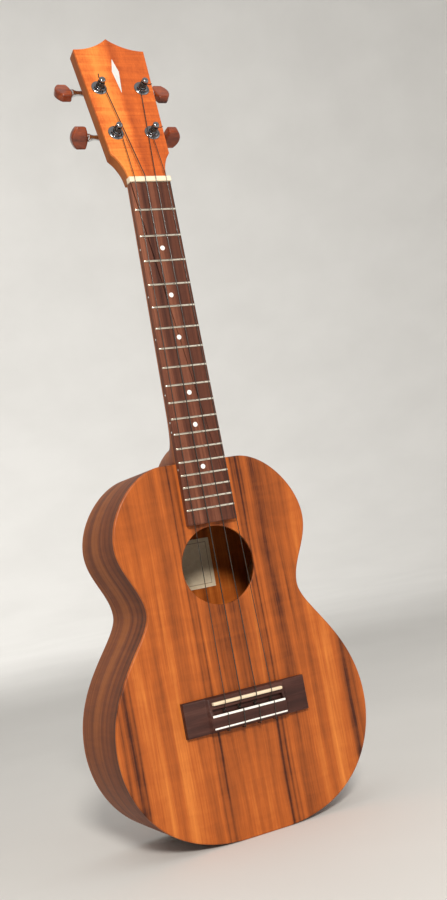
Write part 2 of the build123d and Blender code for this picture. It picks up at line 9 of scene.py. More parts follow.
import bpy
import numpy as np
from bpy.props import FloatProperty, FloatVectorProperty, PointerProperty
from mathutils import Matrix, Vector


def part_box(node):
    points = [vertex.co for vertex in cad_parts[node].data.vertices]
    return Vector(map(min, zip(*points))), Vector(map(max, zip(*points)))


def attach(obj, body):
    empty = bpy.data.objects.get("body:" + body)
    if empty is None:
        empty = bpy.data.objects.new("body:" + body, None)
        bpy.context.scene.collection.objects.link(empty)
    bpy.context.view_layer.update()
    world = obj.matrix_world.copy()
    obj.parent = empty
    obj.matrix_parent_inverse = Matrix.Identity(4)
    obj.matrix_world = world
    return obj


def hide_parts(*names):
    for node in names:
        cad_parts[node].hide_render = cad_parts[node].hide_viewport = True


bl_info = {
    "name": "Tenor ukulele",
    "version": (1, 0, 0),
    "blender": (4, 5, 0),
    "location": "View3D > Sidebar > Ukulele",
    "description": "Builds the looks of a tenor ukulele around its packed frame",
    "category": "Add Mesh",
}

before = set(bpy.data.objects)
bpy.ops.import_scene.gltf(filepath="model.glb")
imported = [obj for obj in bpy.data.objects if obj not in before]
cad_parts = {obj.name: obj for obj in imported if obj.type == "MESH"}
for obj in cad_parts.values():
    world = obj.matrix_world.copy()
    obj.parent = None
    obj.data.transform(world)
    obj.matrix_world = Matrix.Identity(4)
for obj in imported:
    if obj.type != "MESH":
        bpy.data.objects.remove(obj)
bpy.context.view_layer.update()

MM = 0.001
ROOT = "body"

# ---- Sizes of the real piece, in millimetres --------------------------------------------------
FRONT_Y = -38.24            # soundboard's front face
BODY_LENGTH = 305.9
DEPTH_NECK, DEPTH_TAIL = 80.0, 88.6
BOARD_T = 2.0
SOUNDHOLE_R, SOUNDHOLE_Z = 32.3, 218.7
SCALE_LENGTH = 431.8
NUT_Z = BODY_LENGTH + SCALE_LENGTH * (1 - 2 ** (-14 / 12))
FRETBOARD_T, FRETBOARD_LENGTH = 5.4, 291.5
FRETBOARD_NUT, FRETBOARD_END = 18.6, 22.2
MARKER_FRETS = (3, 5, 7, 10, 12, 15)
NUT_T, NUT_H = 5.0, 7.4
HEAD_TILT = radians(14)
HEAD_DROP = 2.3
VENEER_T = 2.3
HEAD_T = 12.8
HEAD_SIDE_TOP, HEAD_PEAK, HEAD_TOP, HEAD_LOW, HEAD_LOW_UP = 134.4, 147.0, 33.1, 27.0, 25.0
SCALLOP_R = 49.8
BRIDGE_LOW, BRIDGE_HIGH, BRIDGE_HALF, BRIDGE_CORE = 88.3, 116.3, 55.4, 33.2
SADDLE_Z, SADDLE_T, SADDLE_HALF, SADDLE_H = 111.0, 3.2, 31.8, 11.1
SADDLE_THINNER = 0.3  # taken off each face of the saddle where it shows
TIE_H, TIE_FRONT, TIE_HOLE_H = 9.3, 102.2, 4.2
NAMES = ("g", "c", "e", "a")
POST_OF = {"g": (-16.85, 46.0), "c": (-19.9, 93.0), "e": (19.9, 93.0), "a": (16.85, 46.0)}
BUTTON_TURN = {"g": 46, "c": -67, "e": -70, "a": 14}
STRING_R = {"g": 0.33, "c": 0.46, "e": 0.40, "a": 0.33}
NUT_X = {n: (i - 1.5) * 9.6 for i, n in enumerate(NAMES)}
SADDLE_X = {n: (i - 1.5) * 14.1 for i, n in enumerate(NAMES)}
SLOT_H = NUT_H - 0.35
WOUND_FROM = {"g": 0.0, "c": 1.3, "e": -0.4, "a": 0.0}  # turn at which a post's winding starts, in radians
GEAR_TEETH, GEAR_R, WORM_R, GEAR_W = 14, 5.3, 2.9, 3.2
WORM_OFF, AXIS_H = GEAR_R + WORM_R, 4.75
LEAD = 2 * pi * GEAR_R / GEAR_TEETH
POST_R, WAIST_R = 3.0, 2.35
WASHER_T, HEX_H, WRAP_H, HOLE_H = 1.1, 1.8, 4.1, 8.2
SCREW_UPS = (-10.0, 16.4)
BACK_TILT = atan2(DEPTH_TAIL - DEPTH_NECK, BODY_LENGTH)


# ---- Placement --------------------------------------------------------------------------------
def place_on(origin, x_dir, z_dir):
    """Placement on a plane: a local point (x, y, h) goes to origin + x X + y Y + h Z, with Y = Z cross
    X."""
    x, z = np.array(x_dir, float), np.array(z_dir, float)
    basis = np.stack([x, np.cross(z, x), z])
    return lambda points: np.array(origin, float) + np.asarray(points, float) @ basis


on_front = place_on((0, FRONT_Y, 0), (1, 0, 0), (0, -1, 0))
on_head = place_on((0, FRONT_Y - HEAD_DROP, NUT_Z + NUT_T), (1, 0, 0),
                   (0, -cos(HEAD_TILT), sin(HEAD_TILT)))
on_back = place_on((0, FRONT_Y + DEPTH_TAIL, 0), (1, 0, 0), (0, -cos(BACK_TILT), -sin(BACK_TILT)))


def on_machine(name):
    """Placement of a tuning machine: X out to its button, Y up the headstock, h backwards; mirrored on
    the treble side."""
    x, up = POST_OF[name]
    place = place_on(on_head((-abs(x), up, -HEAD_T)), (-1, 0, 0),
                     (0, cos(HEAD_TILT), -sin(HEAD_TILT)))
    flip = np.array([1.0 if x < 0 else -1.0, 1, 1])
    return lambda points: place(points) * flip


def stack(x, y, h):
    """Points from coordinate arrays of any shapes that go together."""
    return np.stack(np.broadcast_arrays(x, y, h), -1).astype(float)


# ---- Shapes -----------------------------------------------------------------------------------
def shell(grid, loop=False):
    """Closed surface through rows of points, each row a ring. Either the rows also close on themselves,
    or a flat face closes each end. Faces are turned so that the enclosed volume is positive."""
    rows, cols = grid.shape[:2]
    r, c = np.arange(rows if loop else rows - 1)[:, None], np.arange(cols)[None]
    up, on = (r + 1) % rows, (c + 1) % cols
    quads = np.stack(np.broadcast_arrays(r * cols + c, r * cols + on, up * cols + on, up * cols + c), -1)
    points = grid.reshape(-1, 3)
    faces = quads.reshape(-1, 4).tolist()
    tris = quads.reshape(-1, 4)[:, [0, 1, 2, 0, 2, 3]].reshape(-1, 3)
    if not loop:
        ends = [np.arange(cols)[::-1], np.arange(cols) + (rows - 1) * cols]
        faces += [e.tolist() for e in ends]
        tris = np.concatenate([tris] + [np.stack([np.full(cols - 2, e[0]), e[1:-1], e[2:]], 1) for e in ends])
    a, b, d = (points[tris[:, k]] - points[0] for k in range(3))
    if np.einsum("ij,ij->i", a, np.cross(b, d)).sum() < 0:
        faces = [f[::-1] for f in faces]
    return points, faces


def inset(outline, distance):
    """Closed outline moved inwards: each corner goes along the sum of its edges' normals, by distance
    over one plus their dot product."""
    along = np.roll(outline, -1, 0) - outline
    along /= np.linalg.norm(along, axis=1)[:, None]
    normal = np.stack([-along[:, 1], along[:, 0]], 1)
    before = np.roll(normal, 1, 0)
    return outline + distance * (normal + before) / (1 + (normal * before).sum(1))[:, None]


def edge_profile(low, high, round_low, round_high, steps=4, margin=0.35):
    """(inset, height) pairs up the edge of a flat piece: a quarter circle at each face, then a short
    level step, so that the flat faces shade flat."""
    turn = np.linspace(0, pi / 2, steps + 1)
    lower = [(round_low * (1 - cos(a)), low + round_low * (1 - sin(a))) for a in turn[::-1]]
    upper = [(round_high * (1 - cos(a)), high - round_high * (1 - sin(a))) for a in turn]
    lower = lower if round_low else [(0.0, low)]
    upper = upper if round_high else [(0.0, high)]
    return [(round_low + margin, low)] + lower + upper + [(round_high + margin, high)]


def slab(outline, place, low, high, round_low=0.0, round_high=0.0, steps=4, twist=0.0, margin=0.35,
         drawn=inset):
    """Flat piece: its outline at each height of edge_profile, drawn inwards by drawn, and turned by twist
    times the height where it has one."""
    rings = []
    for distance, height in edge_profile(low, high, round_low, round_high, steps, margin):
        ring = drawn(outline, distance)
        c, s = cos(twist * height), sin(twist * height)
        rings.append(stack(ring[:, 0] * c - ring[:, 1] * s, ring[:, 0] * s + ring[:, 1] * c, height))
    return shell(place(np.array(rings)))


def rounded(corners, radii, steps=6):
    """Closed outline whose corners are arcs tangent to both edges: from the arc's centre, a vector
    swings evenly from one tangent point to the other."""
    corners = np.array(corners, float)
    radii = np.broadcast_to(radii, len(corners))
    out = []
    for p, before, after, r in zip(corners, np.roll(corners, 1, 0), np.roll(corners, -1, 0), radii):
        if r == 0:
            out.append(p[None])
            continue
        a, b = (before - p) / np.linalg.norm(before - p), (after - p) / np.linalg.norm(after - p)
        half = np.arccos(np.clip(a @ b, -1, 1)) / 2
        centre = p + (a + b) / np.linalg.norm(a + b) * r / sin(half)
        first, last = p + a * r / tan(half) - centre, p + b * r / tan(half) - centre
        swing = pi - 2 * half
        t = np.linspace(0, 1, steps + 1)[:, None]
        out.append(centre + (np.sin((1 - t) * swing) * first + np.sin(t * swing) * last) / sin(swing))
    return np.concatenate(out)


def lathe(profile, place, count=64, loop=False, at=(0.0, 0.0)):
    """Profile of (radius, height) pairs turned round the local h axis through at."""
    profile, turn = np.array(profile, float), np.linspace(0, 2 * pi, count, endpoint=False)
    r, h = profile[:, :1], profile[:, 1:]
    return shell(place(stack(at[0] + r * np.cos(turn), at[1] + r * np.sin(turn), h)), loop)


def smooth_path(knots, per_span=8):
    """Curve through knots: on each span a cubic whose slope at a knot is half the step between its
    neighbours."""
    k = np.array(knots, float)
    k = np.concatenate([2 * k[:1] - k[1:2], k, 2 * k[-1:] - k[-2:-1]])
    t = np.linspace(0, 1, per_span, endpoint=False)[None, :, None]
    a, b, c, d = (k[i:len(k) - 3 + i][:, None] for i in range(4))
    cubic = 0.5 * (2 * b + (c - a) * t + (2 * a - 5 * b + 4 * c - d) * t ** 2
                   + (3 * b - a - 3 * c + d) * t ** 3)
    return np.concatenate([cubic.reshape(-1, k.shape[1]), k[-2:-1]])


def bent_path(corners, radius, steps=5):
    """Open polyline whose inner corners are curves: each runs from one cut-off point to the next, a
    parabola with the corner as its control point."""
    p = np.array(corners, float)
    gap = np.linalg.norm(np.diff(p, axis=0), axis=1)
    cut = np.minimum(radius, 0.45 * np.minimum(gap[:-1], gap[1:]))[:, None]
    into = p[1:-1] + (p[:-2] - p[1:-1]) / gap[:-1, None] * cut
    out = p[1:-1] + (p[2:] - p[1:-1]) / gap[1:, None] * cut
    t = np.linspace(0, 1, steps + 1)[None, :, None]
    bends = (1 - t) ** 2 * into[:, None] + 2 * t * (1 - t) * p[1:-1, None] + t ** 2 * out[:, None]
    return np.concatenate([p[:1], bends.reshape(-1, 3), p[-1:]])


def tube(path, radius, side, count=12):
    """Circle carried along a path: at each point it lies across the path, from two directions square
    to the path and, for the first, to side. Its ends are drawn in to a small rounded tip."""
    path = np.asarray(path, float)
    along = np.gradient(path, axis=0)
    along /= np.linalg.norm(along, axis=1)[:, None]
    a = np.cross(along, np.broadcast_to(side, path.shape))
    a /= np.linalg.norm(a, axis=1)[:, None]
    b = np.cross(along, a)
    tip = np.array([0.45, 0.85])
    push = radius * np.array([1.0, 0.5])
    path = np.concatenate([path[0] - along[0] * push[:, None], path, path[-1] + along[-1] * push[::-1, None]])
    a, b = (np.concatenate([v[:1], v[:1], v, v[-1:], v[-1:]]) for v in (a, b))
    size = radius * np.concatenate([tip, np.ones(len(path) - 4), tip[::-1]])[:, None, None]
    turn = np.linspace(0, 2 * pi, count, endpoint=False)[None, :, None]
    return shell(path[:, None] + size * (np.cos(turn) * a[:, None] + np.sin(turn) * b[:, None]))


def carried_bar(stations, section, place):
    """Closed section of (y, h) pairs carried along x; stations are (x, scale of y, highest h)."""
    s, ring = np.array(stations, float)[:, :, None], np.array(section, float)
    middle = (ring[:, 0].max() + ring[:, 0].min()) / 2
    y = middle + (ring[:, 0] - middle) * s[:, 1]
    return shell(place(stack(s[:, 0], y, np.minimum(ring[:, 1], s[:, 2]))))


def slotted_dome(place, at, radius, low, high, slot_half, slot_depth):
    """Screw head: across the slot its rows are chords of the circle, and each row's height is a low dome,
    cut level where the row lies in the slot."""
    ys = radius * np.array([-0.995, -0.95, -0.85, -0.7, -0.5, -0.32])
    walls = np.array([-slot_half - 0.03, -slot_half + 0.03, slot_half - 0.03, slot_half + 0.03])
    ys = np.concatenate([ys, walls, -ys[::-1]])
    q = np.linspace(-1, 1, 17)
    half = np.sqrt(np.maximum(radius ** 2 - ys ** 2, 1e-6))[:, None]
    x = half * q
    reach = np.hypot(x, ys[:, None]) / radius
    rim = low + 0.45 * (high - low)
    h = rim + (high - rim) * np.sqrt(np.maximum(1 - reach ** 2, 0))
    h = np.where(np.abs(ys)[:, None] < slot_half, np.minimum(h, high - slot_depth), h)
    top = stack(at[0] + x, at[1] + ys[:, None], h)
    under = stack(at[0] + x[:, ::-4], at[1] + ys[:, None], low)
    return shell(place(np.concatenate([top, under], 1)))


# ---- Pieces -----------------------------------------------------------------------------------
def add_piece(name, shells, body, material, nodes, sharp=34, uv=None, slack=2.0):
    """One object from closed shells, riding on a CAD body in place of the CAD nodes it stands for."""
    starts = np.cumsum([0] + [len(p) for p, _ in shells])
    points = np.concatenate([p for p, _ in shells]) * MM
    faces = [[i + s for i in f] for (_, fs), s in zip(shells, starts.tolist()) for f in fs]
    mesh = bpy.data.meshes.new(name)
    mesh.from_pydata(points.tolist(), [], faces)
    mesh.shade_smooth()
    mesh.set_sharp_from_angle(angle=radians(sharp))
    if uv is not None:
        corners = np.zeros(len(mesh.loops), np.int32)
        mesh.loops.foreach_get("vertex_index", corners)
        mesh.uv_layers.new(name="Grain").data.foreach_set("uv", (uv * MM)[corners].astype(np.float32).ravel())
    mesh.materials.append(material)
    obj = bpy.data.objects.new(name, mesh)
    bpy.context.scene.collection.objects.link(obj)
    boxes = np.array([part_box(n) for n in nodes])
    outside = max((boxes[:, 0].min(0) - points.min(0)).max(), (points.max(0) - boxes[:, 1].max(0)).max())
    if not mesh.polygons or outside > slack * MM:
        raise RuntimeError(f"{name} is {outside / MM:.2f} mm outside {nodes}")
    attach(obj, body)
    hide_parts(*nodes)
    return obj


def keep_node(node, material):
    """A CAD node whose shape is right stays as it is, with a new material in its slots."""
    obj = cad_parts[node]
    if obj.material_slots:
        for s in obj.material_slots:
            s.material = material
    else:
        obj.data.materials.append(material)


# ---- Materials --------------------------------------------------------------------------------
class Value:
    """A socket in a material's node tree that takes part in sums: each operator adds a Math node."""

    def __init__(self, shader, socket):
        self.shader, self.socket = shader, socket

    def math(self, operation, *others, clamp=False):
        return self.shader.node("ShaderNodeMath", {"operation": operation, "use_clamp": clamp},
                                dict(enumerate((self, *others))))

    def __add__(self, other):
        return self.math("ADD", other)

    def __radd__(self, other):
        return self.math("ADD", other)

    def __sub__(self, other):
        return self.math("SUBTRACT", other)

    def __rsub__(self, other):
        return self.shader.node("ShaderNodeMath", {"operation": "SUBTRACT"}, {0: other, 1: self})

    def __mul__(self, other):
        return self.math("MULTIPLY", other)

    def __rmul__(self, other):
        return self.math("MULTIPLY", other)

    def __truediv__(self, other):
        return self.math("DIVIDE", other)

    def __pow__(self, other):
        return self.math("POWER", other)

    def __abs__(self):
        return self.math("ABSOLUTE")

    def clamp(self):
        return self.math("ADD", 0.0, clamp=True)


class Shader:
    """One material with a principled surface. node() adds any other node: its settings first, then the
    values or links of its sockets, and gives its output."""

    def __init__(self, name, **surface):
        self.material = bpy.data.materials.new(f"{name}_finish")
        self.material.use_nodes = True
        self.tree = self.material.node_tree
        self.surface = self.tree.nodes["Principled BSDF"]
        self.set(**surface)

    def set(self, **surface):
        for key, value in surface.items():
            self.put(self.surface.inputs[key.replace("_", " ").title().replace("Ior", "IOR")], value)
        return self

    def put(self, socket, value):
        if isinstance(value, Value):
            self.tree.links.new(value.socket, socket)
        elif value is not None:
            socket.default_value = (*value, 1.0) if socket.type == "RGBA" else value

    def node(self, kind, settings=None, sockets=None, out=0):
        node = self.tree.nodes.new(kind)
        for key, value in (settings or {}).items():
            if key == "stops":
                ramp = node.color_ramp
                while len(ramp.elements) < len(value):
                    ramp.elements.new(1.0)
                for element, (position, colour) in zip(ramp.elements, value):
                    element.position, element.color = position, (*colour, 1.0)
            else:
                setattr(node, key, value)
        for key, value in (sockets or {}).items():
            self.put(node.inputs[key], value)
        return Value(self, node.outputs[out])

    def position(self):
        return self.node("ShaderNodeTexCoord", out="Object")

    def grain_map(self):
        return self.node("ShaderNodeUVMap", {"uv_map": "Grain"})

    def split(self, vector):
        parts = self.node("ShaderNodeSeparateXYZ", None, {0: vector})
        return tuple(Value(self, parts.socket.node.outputs[k]) for k in range(3))

    def join(self, x, y, z):
        return self.node("ShaderNodeCombineXYZ", None, {0: x, 1: y, 2: z})

    def noise(self, vector, scale=(1, 1, 1), shift=(0, 0, 0), detail=3.0, rough=0.5, distortion=0.0):
        """Noise about 0.5 on the vector stretched by scale, in cycles per metre."""
        moved = self.node("ShaderNodeMapping", None, {"Vector": vector, "Location": shift, "Scale": scale})
        return self.node("ShaderNodeTexNoise", None, {"Vector": moved, "Scale": 1.0, "Detail": detail,
                                                      "Roughness": rough, "Distortion": distortion})

    def ramp(self, value, *stops):
        return self.node("ShaderNodeValToRGB", {"stops": stops}, {0: value})

    def mix(self, factor, a, b, blend="MIX"):
        return self.node("ShaderNodeMix", {"data_type": "RGBA", "blend_type": blend},
                         {0: factor, 6: a, 7: b}, out=2)

    def bump(self, height, strength, distance):
        return self.node("ShaderNodeBump", None,
                         {"Height": height, "Strength": strength, "Distance": distance})


def wood(name, light, mid, dark, source="position", bands=(), mirrored=False, streak=(75, 75, 2.6),
         fibre=(900, 900, 26), pore=0.25, curl=0.12, curl_scale=(30, 30, 210), rough=0.38, coat=0.2,
         contrast=1.0, shift=(0, 0, 0), shine=0.4):
    """Wood with its grain along z, or along the grain map's u: bands at signed distances from the middle
    line, long soft streaks, fine fibres, short pores, and a shimmer across the grain. Mirrored wood has
    the same grain on both sides of that line, apart from its bands."""
    s = Shader(name, coat_weight=coat, coat_roughness=0.22, specular_ior_level=shine)
    if source == "position":
        x, y, z = s.split(s.position())
    else:
        z, x, y = s.split(s.grain_map())
    at = x
    if mirrored:
        x = abs(x)
    wander = (s.noise(s.join(x * 9.0, y * 9.0, z * 5.0), shift=shift, detail=1.5) - 0.5) * 0.009
    across, at = x + wander, at + wander
    place = s.join(across, y, z)
    streaks = s.noise(place, streak, shift, 4.0, 0.62)
    wide = s.noise(place, tuple(0.33 * v for v in streak), shift, 2.0, 0.5)
    fibres = s.noise(place, fibre, shift, 3.0, 0.6)
    figure = s.noise(s.join(x, y, z), curl_scale, shift, 2.0, 0.55, 0.6)
    tone = (streaks - 0.5) * (1.5 * contrast) + (wide - 0.5) * (1.1 * contrast) + (fibres - 0.5) * 0.42 \
        + (figure - 0.5) * (2.4 * curl) + 0.42
    for middle, half, depth in bands:
        tone = tone + (1 - abs(at - middle * MM) / (half * MM)).clamp() * depth
    dusk = tuple(0.45 * m + 0.55 * d for m, d in zip(mid, dark))
    colour = s.ramp(tone, (0.0, light), (0.42, mid), (0.78, dusk), (1.0, dark))
    pores = s.ramp(s.noise(place, tuple(2.6 * v for v in fibre), shift, 2.0, 0.7),
                   (0.0, (1, 1, 1)), (0.62, (1, 1, 1)), (0.72, (0, 0, 0)))
    lines = s.node("ShaderNodeSeparateColor", None, {0: pores})
    colour = s.mix((1 - lines) * pore, colour, tuple(0.3 * d for d in dark))
    s.set(base_color=colour, roughness=(rough + (fibres - 0.5) * 0.16).clamp(),
          normal=s.bump(lines * 0.6 + fibres * 0.4, 0.12, 0.0002))
    return s.material


def metal(name, colour, rough, scratch=0.08):
    """Plated metal, its roughness uneven from handling."""
    s = Shader(name, base_color=colour, metallic=1.0)
    where = s.position()
    s.set(roughness=(rough + (s.noise(where, (260, 260, 260), detail=4) - 0.5) * scratch
                     + (s.noise(where, (2400, 2400, 500), detail=2) - 0.5) * scratch).clamp())
    return s.material


def plain(name, colour, other, rough, scale, coat=0.0, strength=0.05):
    """Even material with a soft mottle between two close colours."""
    s = Shader(name, coat_weight=coat, coat_roughness=0.15)
    where = s.position()
    mottle = s.noise(where, scale, detail=4, rough=0.6)
    s.set(base_color=s.ramp(mottle, (0.3, colour), (0.7, other)),
          roughness=(rough + (mottle - 0.5) * 0.2).clamp(), normal=s.bump(mottle, strength, 0.0001))
    return s.material


def paper_label(name):
    """Blank cream label with one thin border line near its edge."""
    s = Shader(name, roughness=0.8)
    x, _, z = s.split(s.position())
    lo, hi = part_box("label")
    half_x, half_z, mid_z = (hi.x - lo.x) / 2, (hi.z - lo.z) / 2, (hi.z + lo.z) / 2
    edge_x = half_x - abs(x)
    edge_z = half_z - abs(z - mid_z)
    line_at = edge_x.math("MINIMUM", edge_z)
    line = (1 - abs(line_at - 0.0035) / 0.0004).clamp()
    fibres = s.noise(s.position(), (300, 300, 300), detail=5, rough=0.65)
    sheet = s.ramp(fibres, (0.25, (0.70, 0.56, 0.38)), (0.75, (0.86, 0.74, 0.55)))
    s.set(base_color=s.mix(line, sheet, (0.24, 0.12, 0.05)), normal=s.bump(fibres, 0.08, 0.0001))
    return s.material


def finish(name):
    """The material of that finish, made the first time it is asked for."""
    if name not in MADE:
        MADE[name] = FINISHES[name](name)
    return MADE[name]


def koa_tones():
    w = bpy.context.scene.uke_wood
    return {"light": tuple(w.koa_light), "mid": tuple(w.koa_mid), "dark": tuple(w.koa_dark)}


def head_tones():
    w = bpy.context.scene.uke_wood
    return {"light": tuple(w.head_light), "mid": tuple(w.head_mid), "dark": tuple(w.head_dark)}


MADE = {}
# The two halves of the soundboard mirror each other's grain, but a few dark lines are on one side only.
# A band is (distance from the middle line, half width, depth), in millimetres, and lightens where its
# depth is negative.
TOP_BANDS = ((-29, 7, 0.26), (-26.5, 1.8, 0.34), (-32, 1.3, 0.26), (-37, 1.5, 0.16), (29, 7, 0.26),
             (26.5, 1.8, 0.34), (31.5, 1.6, 0.34), (35, 1.3, 0.24), (47, 17, 0.13), (-20, 5, 0.10),
             (-99, 4, 0.28), (-94, 1.6, 0.24), (-106, 2, 0.22), (100, 4, 0.28), (106, 2, 0.22),
             (-62, 26, -0.20), (76, 16, -0.20))
BACK_BANDS = tuple((side * middle, half, depth) for side in (-1, 1)
                   for middle, half, depth in ((20, 6, 0.3), (29, 3, 0.26), (62, 14, 0.2), (98, 6, 0.3)))
SIDE_BANDS = ((12, 5, 0.2), (22, 5, 0.35), (34, 3, 0.28), (58, 7, 0.30), (71, 3, 0.2))
HEAD_BANDS = ((1.5, 5, 0.36), (6, 4, 0.12), (-17, 17, -0.36), (20, 16, 0.16))
FINISHES = {
    "koa_top": lambda name: wood(
        name, **koa_tones(), mirrored=True, curl=0.1, curl_scale=(40, 40, 120), contrast=1.15,
        coat=0.08, rough=0.42, shine=0.25, bands=TOP_BANDS),
    "koa_back": lambda name: wood(
        name, **koa_tones(), mirrored=True, shift=(3.1, 0, 1.7), coat=0.08, shine=0.25, bands=BACK_BANDS),
    # The sides take the body's koa at about half its brightness: painted shade, for sides that stand in
    # shadow.
    "koa_side": lambda name: wood(
        name, (0.34, 0.098, 0.017), (0.20, 0.047, 0.008), (0.030, 0.007, 0.002), source="grain",
        shift=(1.3, 4.2, 0.4), rough=0.55, coat=0.0, shine=0.2, contrast=1.15, bands=SIDE_BANDS),
    "head_koa": lambda name: wood(
        name, **head_tones(), contrast=0.5, curl=0.30, shift=(0.3, 0, 2.2), shine=0.25,
        curl_scale=(14, 14, 330), coat=0.05, rough=0.5, bands=HEAD_BANDS),
    "neck_wood": lambda name: wood(
        name, (0.46, 0.145, 0.032), (0.31, 0.080, 0.016), (0.10, 0.022, 0.006), streak=(60, 60, 3.2),
        contrast=0.7, curl=0.1, shift=(5, 2, 0), rough=0.55, coat=0.0, shine=0.25),
    "rosewood": lambda name: wood(
        name, (0.25, 0.088, 0.046), (0.118, 0.036, 0.019), (0.030, 0.009, 0.006), streak=(190, 190, 3.2),
        contrast=1.2, curl=0.05, pore=0.55, rough=0.55, coat=0.0, shine=0.22),
    "bridge_wood": lambda name: wood(
        name, (0.105, 0.042, 0.031), (0.055, 0.019, 0.014), (0.016, 0.006, 0.005), streak=(9, 90, 140),
        fibre=(40, 900, 900), contrast=1.2, curl=0.05, pore=0.4, curl_scale=(90, 60, 20), rough=0.5,
        coat=0.0, shine=0.25),
    "button_wood": lambda name: wood(
        name, (0.36, 0.072, 0.014), (0.20, 0.034, 0.008), (0.04, 0.008, 0.003), streak=(60, 160, 160),
        fibre=(60, 800, 800), contrast=1.2, curl=0.1, pore=0.2, rough=0.25, coat=0.3),
    "spruce": lambda name: wood(
        name, (0.72, 0.50, 0.27), (0.60, 0.38, 0.18), (0.38, 0.20, 0.08), streak=(8, 300, 300),
        fibre=(30, 900, 900), contrast=0.5, pore=0.05, rough=0.7, coat=0.0),
    "lining": lambda name: wood(
        name, (0.50, 0.30, 0.15), (0.38, 0.20, 0.09), (0.16, 0.07, 0.03), contrast=0.6, rough=0.7, coat=0.0),
    "nickel": lambda name: metal(name, (0.80, 0.74, 0.62), 0.24),
    "dark_chrome": lambda name: metal(name, (0.26, 0.27, 0.29), 0.16, 0.06),
    "chrome": lambda name: metal(name, (0.78, 0.79, 0.80), 0.14, 0.06),
    "brass": lambda name: metal(name, (0.62, 0.44, 0.17), 0.26, 0.1),
    "bone": lambda name: plain(
        name, (0.82, 0.66, 0.45), (0.88, 0.75, 0.56), 0.32, (60, 300, 300), 0.3),
    "white_strip": lambda name: plain(
        name, (0.88, 0.86, 0.80), (0.93, 0.91, 0.87), 0.3, (150, 150, 150), 0.3),
    "dot": lambda name: plain(name, (0.86, 0.86, 0.82), (0.93, 0.93, 0.90), 0.25, (500, 500, 500), 0.5),
    "pearl": lambda name: plain(name, (0.52, 0.60, 0.58), (0.74, 0.66, 0.64), 0.18, (420, 420, 160), 0.8),
    "string": lambda name: plain(
        name, (0.012, 0.009, 0.007), (0.028, 0.019, 0.012), 0.28, (900, 900, 60), 0.4, 0.02),
    "label_paper": paper_label,
}


# ---- Soundbox ---------------------------------------------------------------------------------
def body_half(per_curve=36):
    """Right half of the body's outline, from the neck down to the tail: a level shoulder, four cubic
    curves that meet upright at the bouts and the waist, and a level tail."""
    curves = (((34, 305.9), (60, 305.9), (86.9, 274.8), (86.9, 247.3)),
              ((86.9, 247.3), (86.9, 225.3), (69.3, 210.3), (69.3, 191.3)),
              ((69.3, 191.3), (69.3, 170.8), (113.2, 142.8), (113.2, 88.3)),
              ((113.2, 88.3), (113.2, 45.3), (84, 0), (16, 0)))
    t = np.linspace(0, 1, per_curve, endpoint=False)[:, None]
    parts = [np.stack([np.linspace(0, 34, 12, endpoint=False), np.full(12, BODY_LENGTH)], 1)]
    for curve in curves:
        a, b, c, d = np.array(curve, float)
        parts.append((1 - t) ** 3 * a + 3 * t * (1 - t) ** 2 * b + 3 * t ** 2 * (1 - t) * c + t ** 3 * d)
    parts.append(np.stack([np.linspace(16, 0, 6), np.zeros(6)], 1))
    return np.concatenate(parts)


def body_outline():
    """The whole outline, counter-clockwise from the middle of the tail."""
    half = body_half()
    return np.concatenate([half[::-1], half[1:-1] * (-1, 1)])


def back_face_y(z):
    """Y of the back's outer face at height z: it leans towards the soundboard going up."""
    return FRONT_Y + DEPTH_TAIL - tan(BACK_TILT) * z


def soundboard_shell(edge):
    """Board with its hole: rings go from the hole's wall over its eased edge, across the face, over the
    rounded outer edge and back behind. A point of the hole lies towards its point of the outline."""
    outline = body_outline()
    centre = np.array([0, SOUNDHOLE_Z])
    aim = (outline - centre) / np.linalg.norm(outline - centre, axis=1)[:, None]
    hole = 0.5
    turn = np.linspace(0, pi / 2, 5)
    rings = [(centre + aim * SOUNDHOLE_R, -BOARD_T)]
    rings += [(centre + aim * (SOUNDHOLE_R + hole * (1 - cos(a))), -hole * (1 - sin(a))) for a in turn]
    rings += [(centre + aim * (SOUNDHOLE_R + hole + 0.4), 0.0), (inset(outline, edge + 0.5), 0.0)]
    rings += [(inset(outline, edge * (1 - cos(a))), -edge * (1 - sin(a))) for a in turn[::-1]]
    rings += [(outline, -BOARD_T), (inset(outline, 0.6), -BOARD_T)]
    return shell(on_front(np.array([stack(p[:, 0], p[:, 1], h) for p, h in rings])), loop=True)


def back_shell(edge):
    """Plate in the leaning back plane: flat inside, its outer edge rounded by a quarter circle."""
    outline = body_outline()
    turn = np.linspace(0, pi / 2, 6)
    rings = [(0.8, BOARD_T / cos(BACK_TILT)), (0.0, BOARD_T / cos(BACK_TILT))]
    rings += [(edge * (1 - cos(a)), edge * (1 - sin(a))) for a in turn] + [(edge + 0.5, 0.0)]
    grid = []
    for distance, depth in rings:
        p = inset(outline, distance)
        grid.append(stack(p[:, 0], back_face_y(p[:, 1]) - depth, p[:, 1]))
    return shell(np.array(grid))


def side_shell(sign):
    """Bent side: at each point of the half outline, a wall from the soundboard to the back, two
    millimetres thick along the outline's normal."""
    outer = body_half()
    whole = body_outline()
    inner = inset(whole, 2.0)[:len(outer)][::-1]
    corners = []
    for line in (outer, inner):
        corners += [stack(sign * line[:, 0], FRONT_Y + BOARD_T, line[:, 1]),
                    stack(sign * line[:, 0], back_face_y(line[:, 1]) - BOARD_T / cos(BACK_TILT), line[:, 1])]
    grid = np.stack([corners[0], corners[1], corners[3], corners[2]], 1)
    run = np.concatenate([[0], np.cumsum(np.linalg.norm(np.diff(outer, axis=0), axis=1))])
    uv = np.stack([np.repeat(run, 4), grid[:, :, 1].ravel() - FRONT_Y], 1)
    return shell(grid), uv


